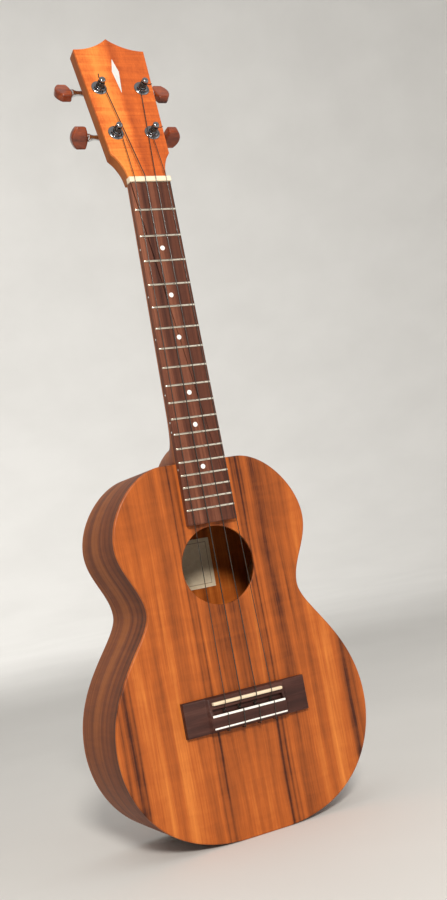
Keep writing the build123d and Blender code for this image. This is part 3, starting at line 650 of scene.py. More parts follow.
def brace_shell(place, middle, half, width, height):
    """Brace across the back: a round-topped section whose height falls away to a thin toe at each end."""
    run = np.linspace(-1, 1, 25)
    tall = height * (0.22 + 0.78 * np.clip((1 - np.abs(run)) / 0.24, 0, 1) ** 0.8)
    across = np.linspace(-1, 1, 11)
    lift = np.sqrt(np.maximum(1 - 0.85 * across ** 2, 0))
    top = stack(run[:, None] * half, middle + across * width / 2, tall[:, None] * lift)
    base = stack(run[:, None] * half, middle + np.array([width, -width]) / 2, 0.0)
    return shell(place(np.concatenate([top, base], 1)))


# ---- Neck and headstock -----------------------------------------------------------------------
def board_half(z):
    """Half-width of the fretboard and neck at height z."""
    return FRETBOARD_NUT + (FRETBOARD_END - FRETBOARD_NUT) * (NUT_Z - z) / FRETBOARD_LENGTH


def fret_z(n):
    """Height of fret n, from the equal-tempered scale."""
    return NUT_Z - SCALE_LENGTH * (1 - 2 ** (-n / 12))


def neck_shaft():
    """Shaft and heel: each ring is half an ellipse from a centre C on the neck's seat towards a point A
    on its spine, closed by its diameter. C runs down the seat, then back along the body joint, while A
    runs down the spine and out over the heel."""
    joint = BODY_LENGTH
    knots = [  # C behind the seat, C height, A behind the seat, A height, half-width
        (6.6, NUT_Z + 26.0, 10.9, NUT_Z + 25.0, 15.0),
        (4.2, NUT_Z + 17.0, 13.9, NUT_Z + 14.8, 17.2),
        (2.0, NUT_Z + 9.0, 14.4, NUT_Z + 6.6, 18.1),
        (0.3, NUT_Z + 2.5, 13.5, NUT_Z + 1.0, board_half(NUT_Z)),
        (0.0, NUT_Z - 6.0, 13.0, NUT_Z - 6.0, board_half(NUT_Z - 6)),
        (0.0, NUT_Z - 60.0, 13.5, NUT_Z - 60.0, board_half(NUT_Z - 60)),
        (0.0, NUT_Z - 120.0, 14.1, NUT_Z - 120.0, board_half(NUT_Z - 120)),
        (0.0, 372.0, 14.6, 372.0, board_half(372)),
        (0.0, 352.0, 15.0, 353.0, board_half(352)),
        (0.0, 338.0, 16.2, 342.0, board_half(338)),
        (0.0, 325.0, 20.2, 333.6, board_half(325)),
        (0.0, 314.0, 27.0, 328.2, board_half(314)),
        (0.5, joint, 35.5, 325.0, 21.4),
        (14.0, joint, 44.5, 323.2, 19.9),
        (30.0, joint, 54.0, 321.2, 17.2),
        (45.0, joint, 62.0, 318.4, 15.2),
        (58.0, joint, 67.6, 315.2, 13.3),
        (66.0, joint, 70.6, 312.6, 11.7),
        (71.3, joint, 71.5, 310.6, 9.6),
    ]
    k = smooth_path(knots, 7)
    c_y, c_z = np.maximum(k[:, 0], 0), np.maximum(k[:, 1], joint)
    half, a_y, a_z = k[:, 4], k[:, 2], np.maximum(k[:, 3], joint + 1)
    turn = np.linspace(0, pi, 41)
    lift, x = np.sin(turn), half[:, None] * np.cos(turn)
    arc = stack(x, FRONT_Y + c_y[:, None] + lift * (a_y - c_y)[:, None],
                c_z[:, None] + lift * (a_z - c_z)[:, None])
    flat = stack(half[:, None] * np.array([-0.5, 0.0, 0.5]), (FRONT_Y + c_y)[:, None], c_z[:, None])
    return shell(np.concatenate([arc, flat], 1))


def head_outline(low=-1.2):
    """Headstock: a flare above the nut, straight sides that spread, and two hollow arcs to a middle peak."""
    flare = smooth_path([(17.4, low), (18.0, 5.0), (19.0, 10.0), (20.9, 15.2), (23.4, 20.2),
                         (HEAD_LOW, HEAD_LOW_UP)], 5)
    chord = hypot(HEAD_TOP, HEAD_PEAK - HEAD_SIDE_TOP)
    reach = sqrt(SCALLOP_R ** 2 - (chord / 2) ** 2)
    centre = (np.array([HEAD_TOP, HEAD_SIDE_TOP + HEAD_PEAK]) / (2, 2)
              + reach / chord * np.array([HEAD_PEAK - HEAD_SIDE_TOP, HEAD_TOP]))
    first = atan2(HEAD_SIDE_TOP - centre[1], HEAD_TOP - centre[0])
    last = atan2(HEAD_PEAK - centre[1], -centre[0])
    turn = np.linspace(first, last - (2 * pi if last > first else 0), 17)
    arc = centre + SCALLOP_R * np.stack([np.cos(turn), np.sin(turn)], 1)
    half = np.concatenate([flare, arc])
    return np.concatenate([half, (half[:-1] * (-1, 1))[::-1]])


# ---- Strings ----------------------------------------------------------------------------------
def string_shells(name):
    """A string: its tied end over the block, its run over the saddle and nut, one turn round its post,
    and the knot before the tie block."""
    r, (px, up) = STRING_R[name], POST_OF[name]
    sx, nx = SADDLE_X[name], NUT_X[name]
    over, rear, fore = TIE_H + r + 0.06, BRIDGE_LOW - r - 0.1, TIE_FRONT + r + 0.1
    coil = WAIST_R + r + 0.05
    seat = on_front((nx, NUT_Z + NUT_T - 0.05, SLOT_H + r + 0.04))
    dx, dy = seat_on_head(seat)[:2]
    dist = hypot(px - dx, up - dy)
    side = 1 if px > 0 else -1
    heading = atan2(up - dy, px - dx) + side * asin(coil / dist)
    length = sqrt(dist ** 2 - coil ** 2)
    tx, ty = dx + length * cos(heading), dy + length * sin(heading)
    tied = on_front([(sx + 1.5, fore, 6.4), (sx + 1.4, fore, over), (sx + 0.2, rear, over),
                     (sx, rear, TIE_HOLE_H), (sx, TIE_FRONT + 0.6, TIE_HOLE_H),
                     (sx, SADDLE_Z - 0.1, SADDLE_H + r + 0.1)])
    line = np.concatenate([tied, [seat], [on_head((tx, ty, WRAP_H))]])
    first = atan2(ty - up, tx - px)
    turn = first - side * np.linspace(0, 2 * pi * 0.985, 49)
    wrap = on_head(stack(px + coil * np.cos(turn), up + coil * np.sin(turn), WRAP_H))
    normal = on_head((0, 0, 1)) - on_head((0, 0, 0))
    start = np.array([sx, TIE_FRONT + 0.6, TIE_HOLE_H])
    ahead = np.array([0, SADDLE_Z - 0.7 - TIE_FRONT, SADDLE_H + r + 0.1 - TIE_HOLE_H])
    ahead /= np.linalg.norm(ahead)
    t = np.linspace(0, 1, 33)[:, None]
    around = (2 * r + 0.04) * (np.cos(2 * pi * 1.6 * t) * np.array([1, 0, 0])
                               + np.sin(2 * pi * 1.6 * t) * np.cross(ahead, (1, 0, 0)))
    knot = start + ahead * (0.9 + 3.2 * r * 1.6 * t) + around
    tail = knot[-1] + np.array([[0.7, 0.5, 0.5], [1.6, 1.1, 1.3]]) * (side if name in "ca" else -side, 1, 1)
    knot = np.concatenate([knot, tail])
    return [tube(bent_path(line, 0.9), r, (1, 0.03, 0.02)), tube(wrap, r, normal),
            tube(on_front(knot), r, (0.13, 0.5, 0.86), 10)]


def seat_on_head(point):
    """A point of the row frame as (x, up, h) on the headstock's plane."""
    basis = on_head(np.eye(3)) - on_head((0, 0, 0))
    return basis @ (np.asarray(point) - on_head((0, 0, 0)))


def winding_shell(name):
    """String wound up the post above its first turn: a helix one diameter apart, then through the
    post's hole to a short tail that bends up."""
    r = STRING_R[name]
    coil, pitch = WAIST_R + r + 0.05, 2 * r + 0.08
    low, sign = WRAP_H + pitch, -1
    turns = (HOLE_H - low) / pitch
    a = np.linspace(0, 2 * pi * turns, int(40 * turns)) + WOUND_FROM[name]
    h = -HEAD_T - low - pitch * (a - a[0]) / (2 * pi)
    path = stack(coil * np.cos(a), sign * coil * np.sin(a), h)
    end = np.array([cos(a[-1]), sign * sin(a[-1]), 0.0])
    across = np.array([-end[1], end[0], 0.0])
    last = path[-1]
    through = np.array([last * (0.55, 0.55, 1) + across * 0.4, last * (-1, -1, 1),
                        last * (-1.75, -1.75, 1) + (0, 0, -0.8), last * (-2.2, -2.2, 1) + (0, 0, -2.4)])
    leaving = smooth_path(np.concatenate([path[-3:-1], through]), 6)
    place = on_machine(name)
    return [tube(place(path), r, place((0, 0, 1)) - place((0, 0, 0))),
            tube(place(leaving), r, place(across) - place((0, 0, 0)) + 0.01)]


# ---- Tuning machines --------------------------------------------------------------------------
def plate_shells(name):
    """Base plate with side lugs, and two upright ears with round tops that carry the worm shaft."""
    place = on_machine(name)
    corners = [(-5.5, -13.5), (5.5, -13.5), (5.5, 4.5), (7, 4.5), (7, 11.9), (5.5, 11.9), (5.5, 19.9),
               (-5.5, 19.9), (-5.5, 11.9), (-7, 11.9), (-7, 4.5), (-5.5, 4.5)]
    radii = [4.5, 4.5, 0.5, 0.7, 0.7, 0.5, 4.5, 4.5, 0.5, 0.7, 0.7, 0.5]
    shells = [slab(rounded(corners, radii), place, 0, 1.0, 0.0, 0.3, margin=0.1)]
    turn = np.linspace(0, pi, 21)
    ear = np.concatenate([[(WORM_OFF - 3.2, 0.6), (WORM_OFF + 3.2, 0.6)],
                          np.stack([WORM_OFF + 3.2 * np.cos(turn), AXIS_H + 3.2 * np.sin(turn)], 1)])
    for low in (-7.0, 5.4):
        shells.append(slab(ear, lambda p: place(p[..., [2, 0, 1]]), low, low + 1.6, 0.3, 0.3))
    for end in (-7.0, 7.0):
        ring = [(1.9, -0.25), (2.6, -0.25), (2.75, 0.0), (2.6, 0.25), (1.9, 0.25)]
        seat = lambda p, e=end: place(p[..., [2, 0, 1]] + (e, WORM_OFF, AXIS_H))
        shells.append(lathe(ring, seat, 32, loop=True))
    return shells


def worm_shells(name):
    """Shaft with its flared collar turned round the worm axis, and the thread: a trapezium in the
    plane of the axis, carried round it one lead per turn."""
    place = on_machine(name)

    def along(p):
        return place(p[..., [2, 0, 1]] * (1, -1, -1) + (0, WORM_OFF, AXIS_H))

    shaft = [(0.9, -8.1), (1.4, -8.0), (1.68, -7.6), (1.7, -5.2), (2.15, -5.0), (2.15, 5.0), (1.7, 5.2),
             (1.7, 7.25), (2.45, 7.3), (2.7, 7.6), (2.62, 8.6), (2.35, 9.6), (2.28, 11.5), (2.35, 13.4),
             (2.65, 15.0), (3.2, 16.4), (3.6, 17.4), (3.75, 18.1), (3.7, 18.8), (3.3, 19.25), (1.5, 19.3),
             (1.5, 30.0)]
    a = np.linspace(-4.5, 4.5, 161)[:, None]
    ring = np.array([(1.9, -0.62), (3.3, -0.30), (3.45, -0.2), (3.45, 0.2), (3.3, 0.30), (1.9, 0.62)])
    angle = 2 * pi * a / LEAD
    fade = np.clip((4.5 - np.abs(a)) / 0.45, 0.05, 1)
    radius = 1.9 + (ring[:, 0] - 1.9) * fade
    thread = shell(along(stack(radius * np.cos(angle), radius * np.sin(angle), a + ring[:, 1])))
    return [lathe(shaft, along, 48), thread]


def button_shell(name):
    """Button: flat slab with bowed inner and outer ends, turned about the worm axis to where it happens
    to stand. Its faces' edges are well rounded, each ring scaled about the button's middle."""
    place, tau = on_machine(name), radians(BUTTON_TURN[name])
    near, far, half = 19.3, 34.0, 9.5
    b = np.linspace(-1, 1, 15)
    inner = np.stack([near + 2.2 * b ** 2, half * b], 1)[::-1]
    outer = np.stack([far - 4.4 * b ** 2, half * b], 1)
    radii = np.zeros(30)
    radii[[0, 14]] = 1.3
    radii[[15, 29]] = 1.7
    outline = rounded(np.concatenate([inner, outer]), radii)

    def turned(p):
        out, wide, thick = p[..., 0], p[..., 1], p[..., 2]
        return place(stack(out, WORM_OFF - thick * cos(tau) + wide * sin(tau),
                           AXIS_H - thick * sin(tau) - wide * cos(tau)))

    middle = np.array([(near + far) / 2, 0.0])
    drawn = lambda ring, d: middle + (ring - middle) * (1 - d / np.array([(far - near) / 2, half]))
    return slab(outline, turned, -3.8, 3.8, 1.7, 1.7, 6, margin=0.5, drawn=drawn)


def gear_shell(name):
    """Gear: its outline's teeth turn with the height by the worm's lean, its edges lightly eased."""
    k = np.arange(GEAR_TEETH)[:, None]
    step = 2 * pi / GEAR_TEETH
    root, tip = GEAR_R - 0.75, GEAR_R + 0.55
    offset = np.array([0.58 / root, 0.88 / tip, 0.5 * step, step - 0.88 / tip, step - 0.58 / root])
    radius = np.array([root, tip - 0.05, tip, tip - 0.05, root])
    angle = (pi / 2 + k * step + offset).ravel()
    r = np.tile(radius, GEAR_TEETH)
    lean = tan(atan2(LEAD, 2 * pi * WORM_R)) / GEAR_R
    place = on_machine(name)
    raised = lambda p: place(p + (0, 0, AXIS_H))
    return slab(np.stack([r * np.cos(angle), r * np.sin(angle)], 1), raised, -GEAR_W / 2, GEAR_W / 2,
                0.2, 0.2, 2, lean, 0.2)


def post_profile():
    """Post from the gear to its tip: straight in the bushing, a narrow waist for the windings, and a
    knob whose top is an ellipse's quarter."""
    top = -HEAD_T
    turn = np.linspace(0, pi / 2, 9)
    knob = [(0.25 + 2.62 * cos(a), top - 10.9 - 1.5 * sin(a)) for a in turn]
    return [(1.8, AXIS_H + 1.5), (1.8, AXIS_H - 1.6), (POST_R, AXIS_H - 1.62), (POST_R, top - 2.9),
            (2.92, top - 3.1), (2.6, top - 3.45), (WAIST_R, top - 3.75), (WAIST_R, top - 8.6),
            (2.42, top - 9.2), (2.62, top - 9.7), (2.84, top - 10.3)] + knob


def washer_shell(name):
    """Domed washer: a closed profile from its bore out to a thin rounded rim."""
    low = -HEAD_T
    ring = [(4.45, low), (7.0, low), (7.0, low - 0.25), (6.85, low - 0.5), (6.4, low - 0.78),
            (5.6, low - 1.0), (4.9, low - 1.08), (4.45, low - 1.1)]
    return lathe(ring, on_machine(name), 72, loop=True)


def hex_shell(name):
    """Hexagonal bushing: its radius is the hexagon's at the flats, and the lesser of that and a circle
    on top, which cuts the chamfer; the bore goes down through it."""
    turn = np.linspace(0, 2 * pi, 96, endpoint=False)
    flats = 5.0 * cos(pi / 6) / np.cos(turn % (pi / 3) - pi / 6)
    top, low = -HEAD_T - WASHER_T - HEX_H, -HEAD_T - WASHER_T
    rings = [(flats, low + 0.05), (flats, low), (flats, top + 0.62), (np.minimum(flats, 4.62), top + 0.3),
             (np.minimum(flats, 4.3), top + 0.06), (np.full(96, 4.1), top), (np.full(96, 3.5), top),
             (np.full(96, 3.2), top + 0.12), (np.full(96, 3.06), top + 0.4), (np.full(96, 3.06), low + 0.05)]
    grid = np.array([stack(r * np.cos(turn), r * np.sin(turn), h) for r, h in rings])
    return shell(on_machine(name)(grid), loop=True)


# ---- Settings ---------------------------------------------------------------------------------
class UkeShape(bpy.types.PropertyGroup):
    """Roundings that are free to change without touching the frame."""
    board_edge: FloatProperty(name="Board edge",
                              description="Radius of the soundboard's and back's outer edge",
                              default=0.0014, min=0.0003, max=0.0019, unit="LENGTH")
    head_edge: FloatProperty(name="Headstock edge", description="Radius of the headstock's edges",
                             default=0.0007, min=0.0001, max=0.002, unit="LENGTH")
    fretboard_edge: FloatProperty(name="Fretboard edge",
                                  description="Radius along the fretboard's upper edges",
                                  default=0.0005, min=0.0001, max=0.002, unit="LENGTH")
    fret_bevel: FloatProperty(name="Fret bevel", description="Length of the slope at a fret's ends",
                              default=0.0011, min=0.0002, max=0.003, unit="LENGTH")


class UkeWood(bpy.types.PropertyGroup):
    """Tones of the two figured woods."""
    koa_light: FloatVectorProperty(name="Body, light", description="Lightest grain of the body's wood",
                                   default=(0.66, 0.205, 0.036), subtype="COLOR", min=0, max=1)
    koa_mid: FloatVectorProperty(name="Body, middle", description="Main tone of the body's wood",
                                 default=(0.42, 0.098, 0.014), subtype="COLOR", min=0, max=1)
    koa_dark: FloatVectorProperty(name="Body, dark", description="Dark streaks of the body's wood",
                                  default=(0.050, 0.010, 0.003), subtype="COLOR", min=0, max=1)
    head_light: FloatVectorProperty(name="Headstock, light",
                                    description="Lightest figure of the headstock's face",
                                    default=(0.80, 0.245, 0.044), subtype="COLOR", min=0, max=1)
    head_mid: FloatVectorProperty(name="Headstock, middle", description="Main tone of the headstock's face",
                                  default=(0.56, 0.112, 0.017), subtype="COLOR", min=0, max=1)
    head_dark: FloatVectorProperty(name="Headstock, dark", description="Dark figure of the headstock's face",
                                   default=(0.24, 0.036, 0.006), subtype="COLOR", min=0, max=1)


class UkeStage(bpy.types.PropertyGroup):
    """Floor, lights and camera."""
    floor_reach: FloatProperty(name="Floor reach", description="Radius of the level floor", default=3.5,
                               min=1, max=20, unit="LENGTH")
    key_power: FloatProperty(name="Key light",
                             description="Power of the main light, in watts", default=52.0, min=0)
    fill_power: FloatProperty(name="Fill light",
                              description="Power of the fill light, in watts", default=6.0, min=0)
    backdrop_power: FloatProperty(name="Backdrop light",
                                  description="Power of the light on the backdrop, in watts",
                                  default=95.0, min=0)
    surround: FloatProperty(name="Surround",
                            description="Strength of the light from all round", default=0.6, min=0)
    lens: FloatProperty(name="Lens", description="Focal length, in millimetres", default=44.4, min=10)


# ---- Operators --------------------------------------------------------------------------------
class Builder(bpy.types.Operator):
    """Base of the operators that build pieces"""
    bl_options = {"REGISTER", "UNDO"}

    def execute(self, context):
        self.build(context)
        return {"FINISHED"}


class UKE_OT_soundbox(Builder):
    """Build the soundboard, the back and the two bent sides"""
    bl_idname = "uke.soundbox"
    bl_label = "Soundbox"

    def build(self, context):
        edge = context.scene.uke_shape.board_edge / MM
        add_piece("top_plate", [soundboard_shell(edge)], ROOT, finish("koa_top"), ["soundboard"])
        add_piece("back_plate", [back_shell(edge)], ROOT, finish("koa_back"), ["back"])
        for name, sign in (("bass", -1), ("treble", 1)):
            wall, uv = side_shell(sign)
            add_piece(f"rim_{name}", [wall], ROOT, finish("koa_side"), [f"side_{name}"], uv=uv)


class UKE_OT_inside(Builder):
    """Build the back braces, and finish the blocks, linings, braces, strip and label inside"""
    bl_idname = "uke.inside"
    bl_label = "Inside of the box"

    def build(self, context):
        inner = lambda p: on_back(np.asarray(p) + (0, 0, BOARD_T))
        braces = [brace_shell(inner, z, half, 8, 10) for z, half in ((262, 73), (160, 74), (62, 97))]
        add_piece("back_brace_set", braces, ROOT, finish("spruce"), ["back_braces"])
        for node, slot, name in (("top_braces", "spruce", "spruce"), ("back_strip", "spruce", "spruce"),
                                 ("bridge_plate", "spruce", "spruce"), ("lining_top", "lining", "lining"),
                                 ("lining_back", "lining", "lining"), ("neck_block", "lining", "lining"),
                                 ("tail_block", "lining", "lining"), ("label", "paper", "label_paper")):
            keep_node(node, finish(name))


class UKE_OT_neck(Builder):
    """Build the neck with its heel, and the headstock with its face veneer and inlay"""
    bl_idname = "uke.neck"
    bl_label = "Neck and headstock"

    def build(self, context):
        edge = context.scene.uke_shape.head_edge / MM
        block = slab(head_outline(), on_head, -HEAD_T, -VENEER_T, edge * 1.6, 0.0)
        add_piece("neck_wood", [neck_shaft(), block], ROOT, finish("neck_wood"), ["neck"], 40)
        veneer = slab(head_outline(0.35), on_head, -VENEER_T, 0.0, 0.0, edge)
        add_piece("head_veneer", [veneer], ROOT, finish("head_koa"), ["head_plate"], 40)
        lozenge = np.array([(0, 87.05), (3.25, 111), (0, 124.95), (-3.25, 111)], float)
        inlay = slab(rounded(lozenge, 0.25, 3), on_head, -0.9, 0.03, 0.0, 0.05, 2, margin=0.05)
        add_piece("head_lozenge", [inlay], ROOT, finish("pearl"), ["head_inlay"])


class UKE_OT_fretboard(Builder):
    """Build the fretboard with its frets, its dots and the nut"""
    bl_idname = "uke.fretboard"
    bl_label = "Fretboard, frets and nut"

    def build(self, context):
        shape = context.scene.uke_shape
        low = NUT_Z - FRETBOARD_LENGTH
        board = [(-FRETBOARD_END, low), (FRETBOARD_END, low), (FRETBOARD_NUT, NUT_Z),
                 (-FRETBOARD_NUT, NUT_Z)]
        board = slab(rounded(board, [0.6, 0.6, 0.05, 0.05], 4), on_front, 0, FRETBOARD_T, 0.0,
                     shape.fretboard_edge / MM)
        add_piece("fingerboard", [board], ROOT, finish("rosewood"), ["fretboard"])

        bevel = shape.fret_bevel / MM
        turn = np.linspace(0, pi, 11)
        crown = np.stack([np.cos(turn), FRETBOARD_T + np.sin(turn) * 1.0], 1)
        wires = []
        for n in range(1, 19):
            half = board_half(fret_z(n)) - 0.15
            ends = [(half, 0.55, 0.22), (half - 0.25 * bevel, 0.8, 0.5), (half - 0.6 * bevel, 0.95, 0.8),
                    (half - bevel, 1.0, 1.0)]
            stations = [(-x, w, FRETBOARD_T + h) for x, w, h in ends]
            stations += [(x, w, FRETBOARD_T + h) for x, w, h in ends[::-1]]
            section = np.concatenate([crown, [(-1, FRETBOARD_T - 0.1), (1, FRETBOARD_T - 0.1)]]) 
            place = lambda p, z=fret_z(n): on_front(np.asarray(p) + (0, z, 0))
            wires.append(carried_bar(stations, section, place))
        add_piece("fret_wires", wires, ROOT, finish("nickel"), ["frets"])

        middles = [((fret_z(n) + fret_z(n - 1)) / 2, n) for n in MARKER_FRETS]
        dome = [(2.07, FRETBOARD_T - 0.5), (2.07, FRETBOARD_T - 0.03), (1.95, FRETBOARD_T + 0.03),
                (1.4, FRETBOARD_T + 0.05), (0.4, FRETBOARD_T + 0.06)]
        dots = [lathe(dome, on_front, 40, at=(0, z)) for z, _ in middles]
        add_piece("front_dots", dots, ROOT, finish("dot"), ["fret_markers"])
        pips = []
        for z, n in middles:
            for dz in (-4, 4) if n == 12 else (0,):
                spot = (-board_half(z + dz), FRONT_Y - FRETBOARD_T / 2, z + dz)
                edge = place_on(spot, (0, 1, 0), (-1, 0, 0))
                pips.append(lathe([(0.77, -0.5), (0.77, 0.0), (0.7, 0.04), (0.2, 0.05)], edge, 24))
        add_piece("side_dots", pips, ROOT, finish("dot"), ["side_markers"])

        near, far = NUT_Z + 0.02, NUT_Z + NUT_T - 0.02
        soft = rounded([(near, 0.02), (far, 0.02), (far, NUT_H - 0.5), (near, NUT_H)],
                       [0.05, 0.05, 1.3, 0.9], 6)
        floor = [(-18.95, 0.86, NUT_H - 0.9), (-18.8, 0.96, NUT_H - 0.3), (-18.4, 1.0, NUT_H)]
        stations = list(floor)
        for name in NAMES:
            reach = STRING_R[name] + 0.06
            stations += [(NUT_X[name] + dx, 1.0, h) for dx, h in
                         ((-reach - 0.12, NUT_H), (-reach, SLOT_H), (reach, SLOT_H), (reach + 0.12, NUT_H))]
        stations += [(-x, w, h) for x, w, h in floor[::-1]]
        add_piece("nut_bar", [carried_bar(stations, soft, on_front)], ROOT, finish("bone"), ["nut"])


class UKE_OT_bridge(Builder):
    """Build the bridge with its saddle and the two white strips of its tie block"""
    bl_idname = "uke.bridge"
    bl_label = "Bridge and saddle"

    def build(self, context):
        low, high = BRIDGE_LOW, BRIDGE_HIGH
        # Rows: height up the body, then heights on a wing, beside the groove and across the groove
        profile = np.array([
            (low, 0, 0, 0), (low, 3.9, 5.4, 5.4), (low + 0.3, 4.6, 7.0, 7.0), (low + 1.1, 5.0, 8.3, 8.3),
            (low + 2.2, 5.0, 9.1, 9.1), (low + 3.0, 5.0, 9.3, 9.3), (TIE_FRONT - 0.6, 5.0, 9.3, 9.3),
            (TIE_FRONT - 0.2, 5.0, 9.22, 9.22), (TIE_FRONT, 5.0, 9.0, 9.0), (TIE_FRONT + 0.02, 5.0, 8.9, 4.2),
            (TIE_FRONT + 0.5, 5.0, 8.7, 3.8), (106.0, 5.0, 7.3, 3.8), (106.4, 5.0, 7.15, 4.2),
            (106.5, 5.0, 7.1, 6.8), (106.9, 5.0, 7.1, 7.1), (high - 1.9, 5.0, 7.0, 7.0),
            (high - 1.0, 5.0, 6.5, 6.5), (high - 0.35, 4.7, 5.4, 5.4), (high, 3.9, 4.0, 4.0),
            (high, 0, 0, 0)])
        core, groove = BRIDGE_CORE, BRIDGE_CORE - 1.4
        ramp = np.linspace(0, 1, 7)
        right = [(groove, 2.0), (groove + 0.06, 1.0), (core, 1.0)]
        right += [(core + 0.15 + 3.2 * t, 1 - t * t * (3 - 2 * t)) for t in ramp]
        right += [(BRIDGE_HALF - 1.2, 0.0), (BRIDGE_HALF - 0.35, 0.0), (BRIDGE_HALF, 0.0)]
        cap = [99.0] * 11 + [4.7, 3.9]
        stations = [(-x, b, m) for (x, b), m in zip(right[::-1], cap[::-1])]
        stations += [(x, b, m) for (x, b), m in zip(right, cap)]
        x, b, m = (np.array(stations)[:, k:k + 1] for k in range(3))
        wing, solid, cut = (profile[None, :, k] for k in (1, 2, 3))
        h = wing + np.clip(b, 0, 1) * (solid - wing) + np.clip(b - 1, 0, 1) * (cut - solid)
        grid = on_front(stack(x, profile[None, :, 0], np.minimum(h, m)))
        add_piece("bridge_block", [shell(grid)], ROOT, finish("bridge_wood"), ["bridge"], 28)

        half_t = SADDLE_T / 2 - SADDLE_THINNER
        near, far = SADDLE_Z - half_t, SADDLE_Z + half_t
        blade = rounded([(near, 2.3), (far, 2.3), (far, SADDLE_H - 0.2), (near, SADDLE_H - 1.5)],
                        [0.05, 0.05, 0.9, 0.5], 6)
        bass = [(-SADDLE_HALF + 0.6, 0.6, 9.4), (-SADDLE_HALF + 0.75, 0.8, 10.2),
                (-SADDLE_HALF + 1.1, 0.94, 10.8), (-SADDLE_HALF + 1.7, 1.0, SADDLE_H)]
        treble = [(SADDLE_HALF - 0.9, 1.0, SADDLE_H), (SADDLE_HALF - 0.4, 0.92, 10.9),
                  (SADDLE_HALF - 0.1, 0.75, 10.3), (SADDLE_HALF, 0.55, 9.6)]
        bar = carried_bar(bass + treble, blade, on_front)
        add_piece("saddle_blade", [bar], ROOT, finish("bone"), ["saddle"])

        strips = []
        for z, width in ((TIE_FRONT - 1.8, 1.8), (low + 2.6, 1.4)):
            bar = rounded([(z, TIE_H - 0.75), (z + width, TIE_H - 0.75), (z + width, TIE_H + 0.1),
                           (z, TIE_H + 0.1)], [0.05, 0.05, 0.32, 0.32], 5)
            ends = [(core, 0.5, TIE_H - 0.25), (core - 0.15, 0.8, TIE_H), (core - 0.5, 1.0, TIE_H + 0.1)]
            stations = [(-e, w, h) for e, w, h in ends] + [(e, w, h) for e, w, h in ends[::-1]]
            strips.append(carried_bar(stations, bar, on_front))
        add_piece("white_strips", strips, ROOT, finish("white_strip"), ["tie_strips"])


class UKE_OT_strings(Builder):
    """Build the four strings, and their windings that turn with the posts"""
    bl_idname = "uke.strings"
    bl_label = "Strings"

    def build(self, context):
        for name in NAMES:
            gut = finish("string")
            add_piece(f"line_{name}", string_shells(name), ROOT, gut, [f"string_{name}"])
            add_piece(f"wound_{name}", winding_shell(name), f"post_{name}_spindle", gut,
                      [f"winding_{name}"], slack=4.0)


class UKE_OT_tuners(Builder):
    """Build the four open-gear tuning machines"""
    bl_idname = "uke.tuners"
    bl_label = "Tuning machines"

    def build(self, context):
        dark, bright, brass, button = (finish(f) for f in ("dark_chrome", "chrome", "brass", "button_wood"))
        for name in NAMES:
            place = on_machine(name)
            spindle, shaft = f"post_{name}_spindle", f"button_{name}_shaft"
            top = AXIS_H + GEAR_W / 2
            for piece, shells, body, slot, material, node in (
                    ("base", plate_shells(name), ROOT, "bright_metal", bright, "tuner_plate"),
                    ("worm", worm_shells(name), shaft, "bright_metal", bright, "worm_shaft"),
                    ("knob", [button_shell(name)], shaft, "button_wood", button, "button"),
                    ("wheel", [gear_shell(name)], spindle, "brass", brass, "gear"),
                    ("peg", [lathe(post_profile(), place)], spindle, "dark_chrome", dark, "post"),
                    ("cap_screw", [slotted_dome(place, (0, 0), 2.6, top, top + 1.45, 0.35, 0.7)], spindle,
                     "bright_metal", bright, "gear_screw")):
                add_piece(f"{piece}_{name}", shells, body, material, [f"{node}_{name}"])
        add_piece("washer_rings", [washer_shell(n) for n in NAMES], ROOT, dark, ["washers"])
        add_piece("hex_bushings", [hex_shell(n) for n in NAMES], ROOT, dark, ["bushings"])
        screws = [slotted_dome(on_machine(n), (0, up), 2.1, 0.98, 2.1, 0.3, 0.5)
                  for n in NAMES for up in SCREW_UPS]
        add_piece("wood_screws", screws, ROOT, bright, ["plate_screws"])


# The stage is in metres: the bend from floor to wall, the wall's top, the floor's gap under the part
FLOOR_BEND, WALL_TOP, FLOOR_GAP = 3, 7.0, 0.00005
CAMERA_BACK, CAMERA_UP = (-0.437, -0.8951, -0.0882), (0.1274, -0.1586, 0.9791)
CAMERA_SPOT = (-0.3833, -0.8721, 0.2298)


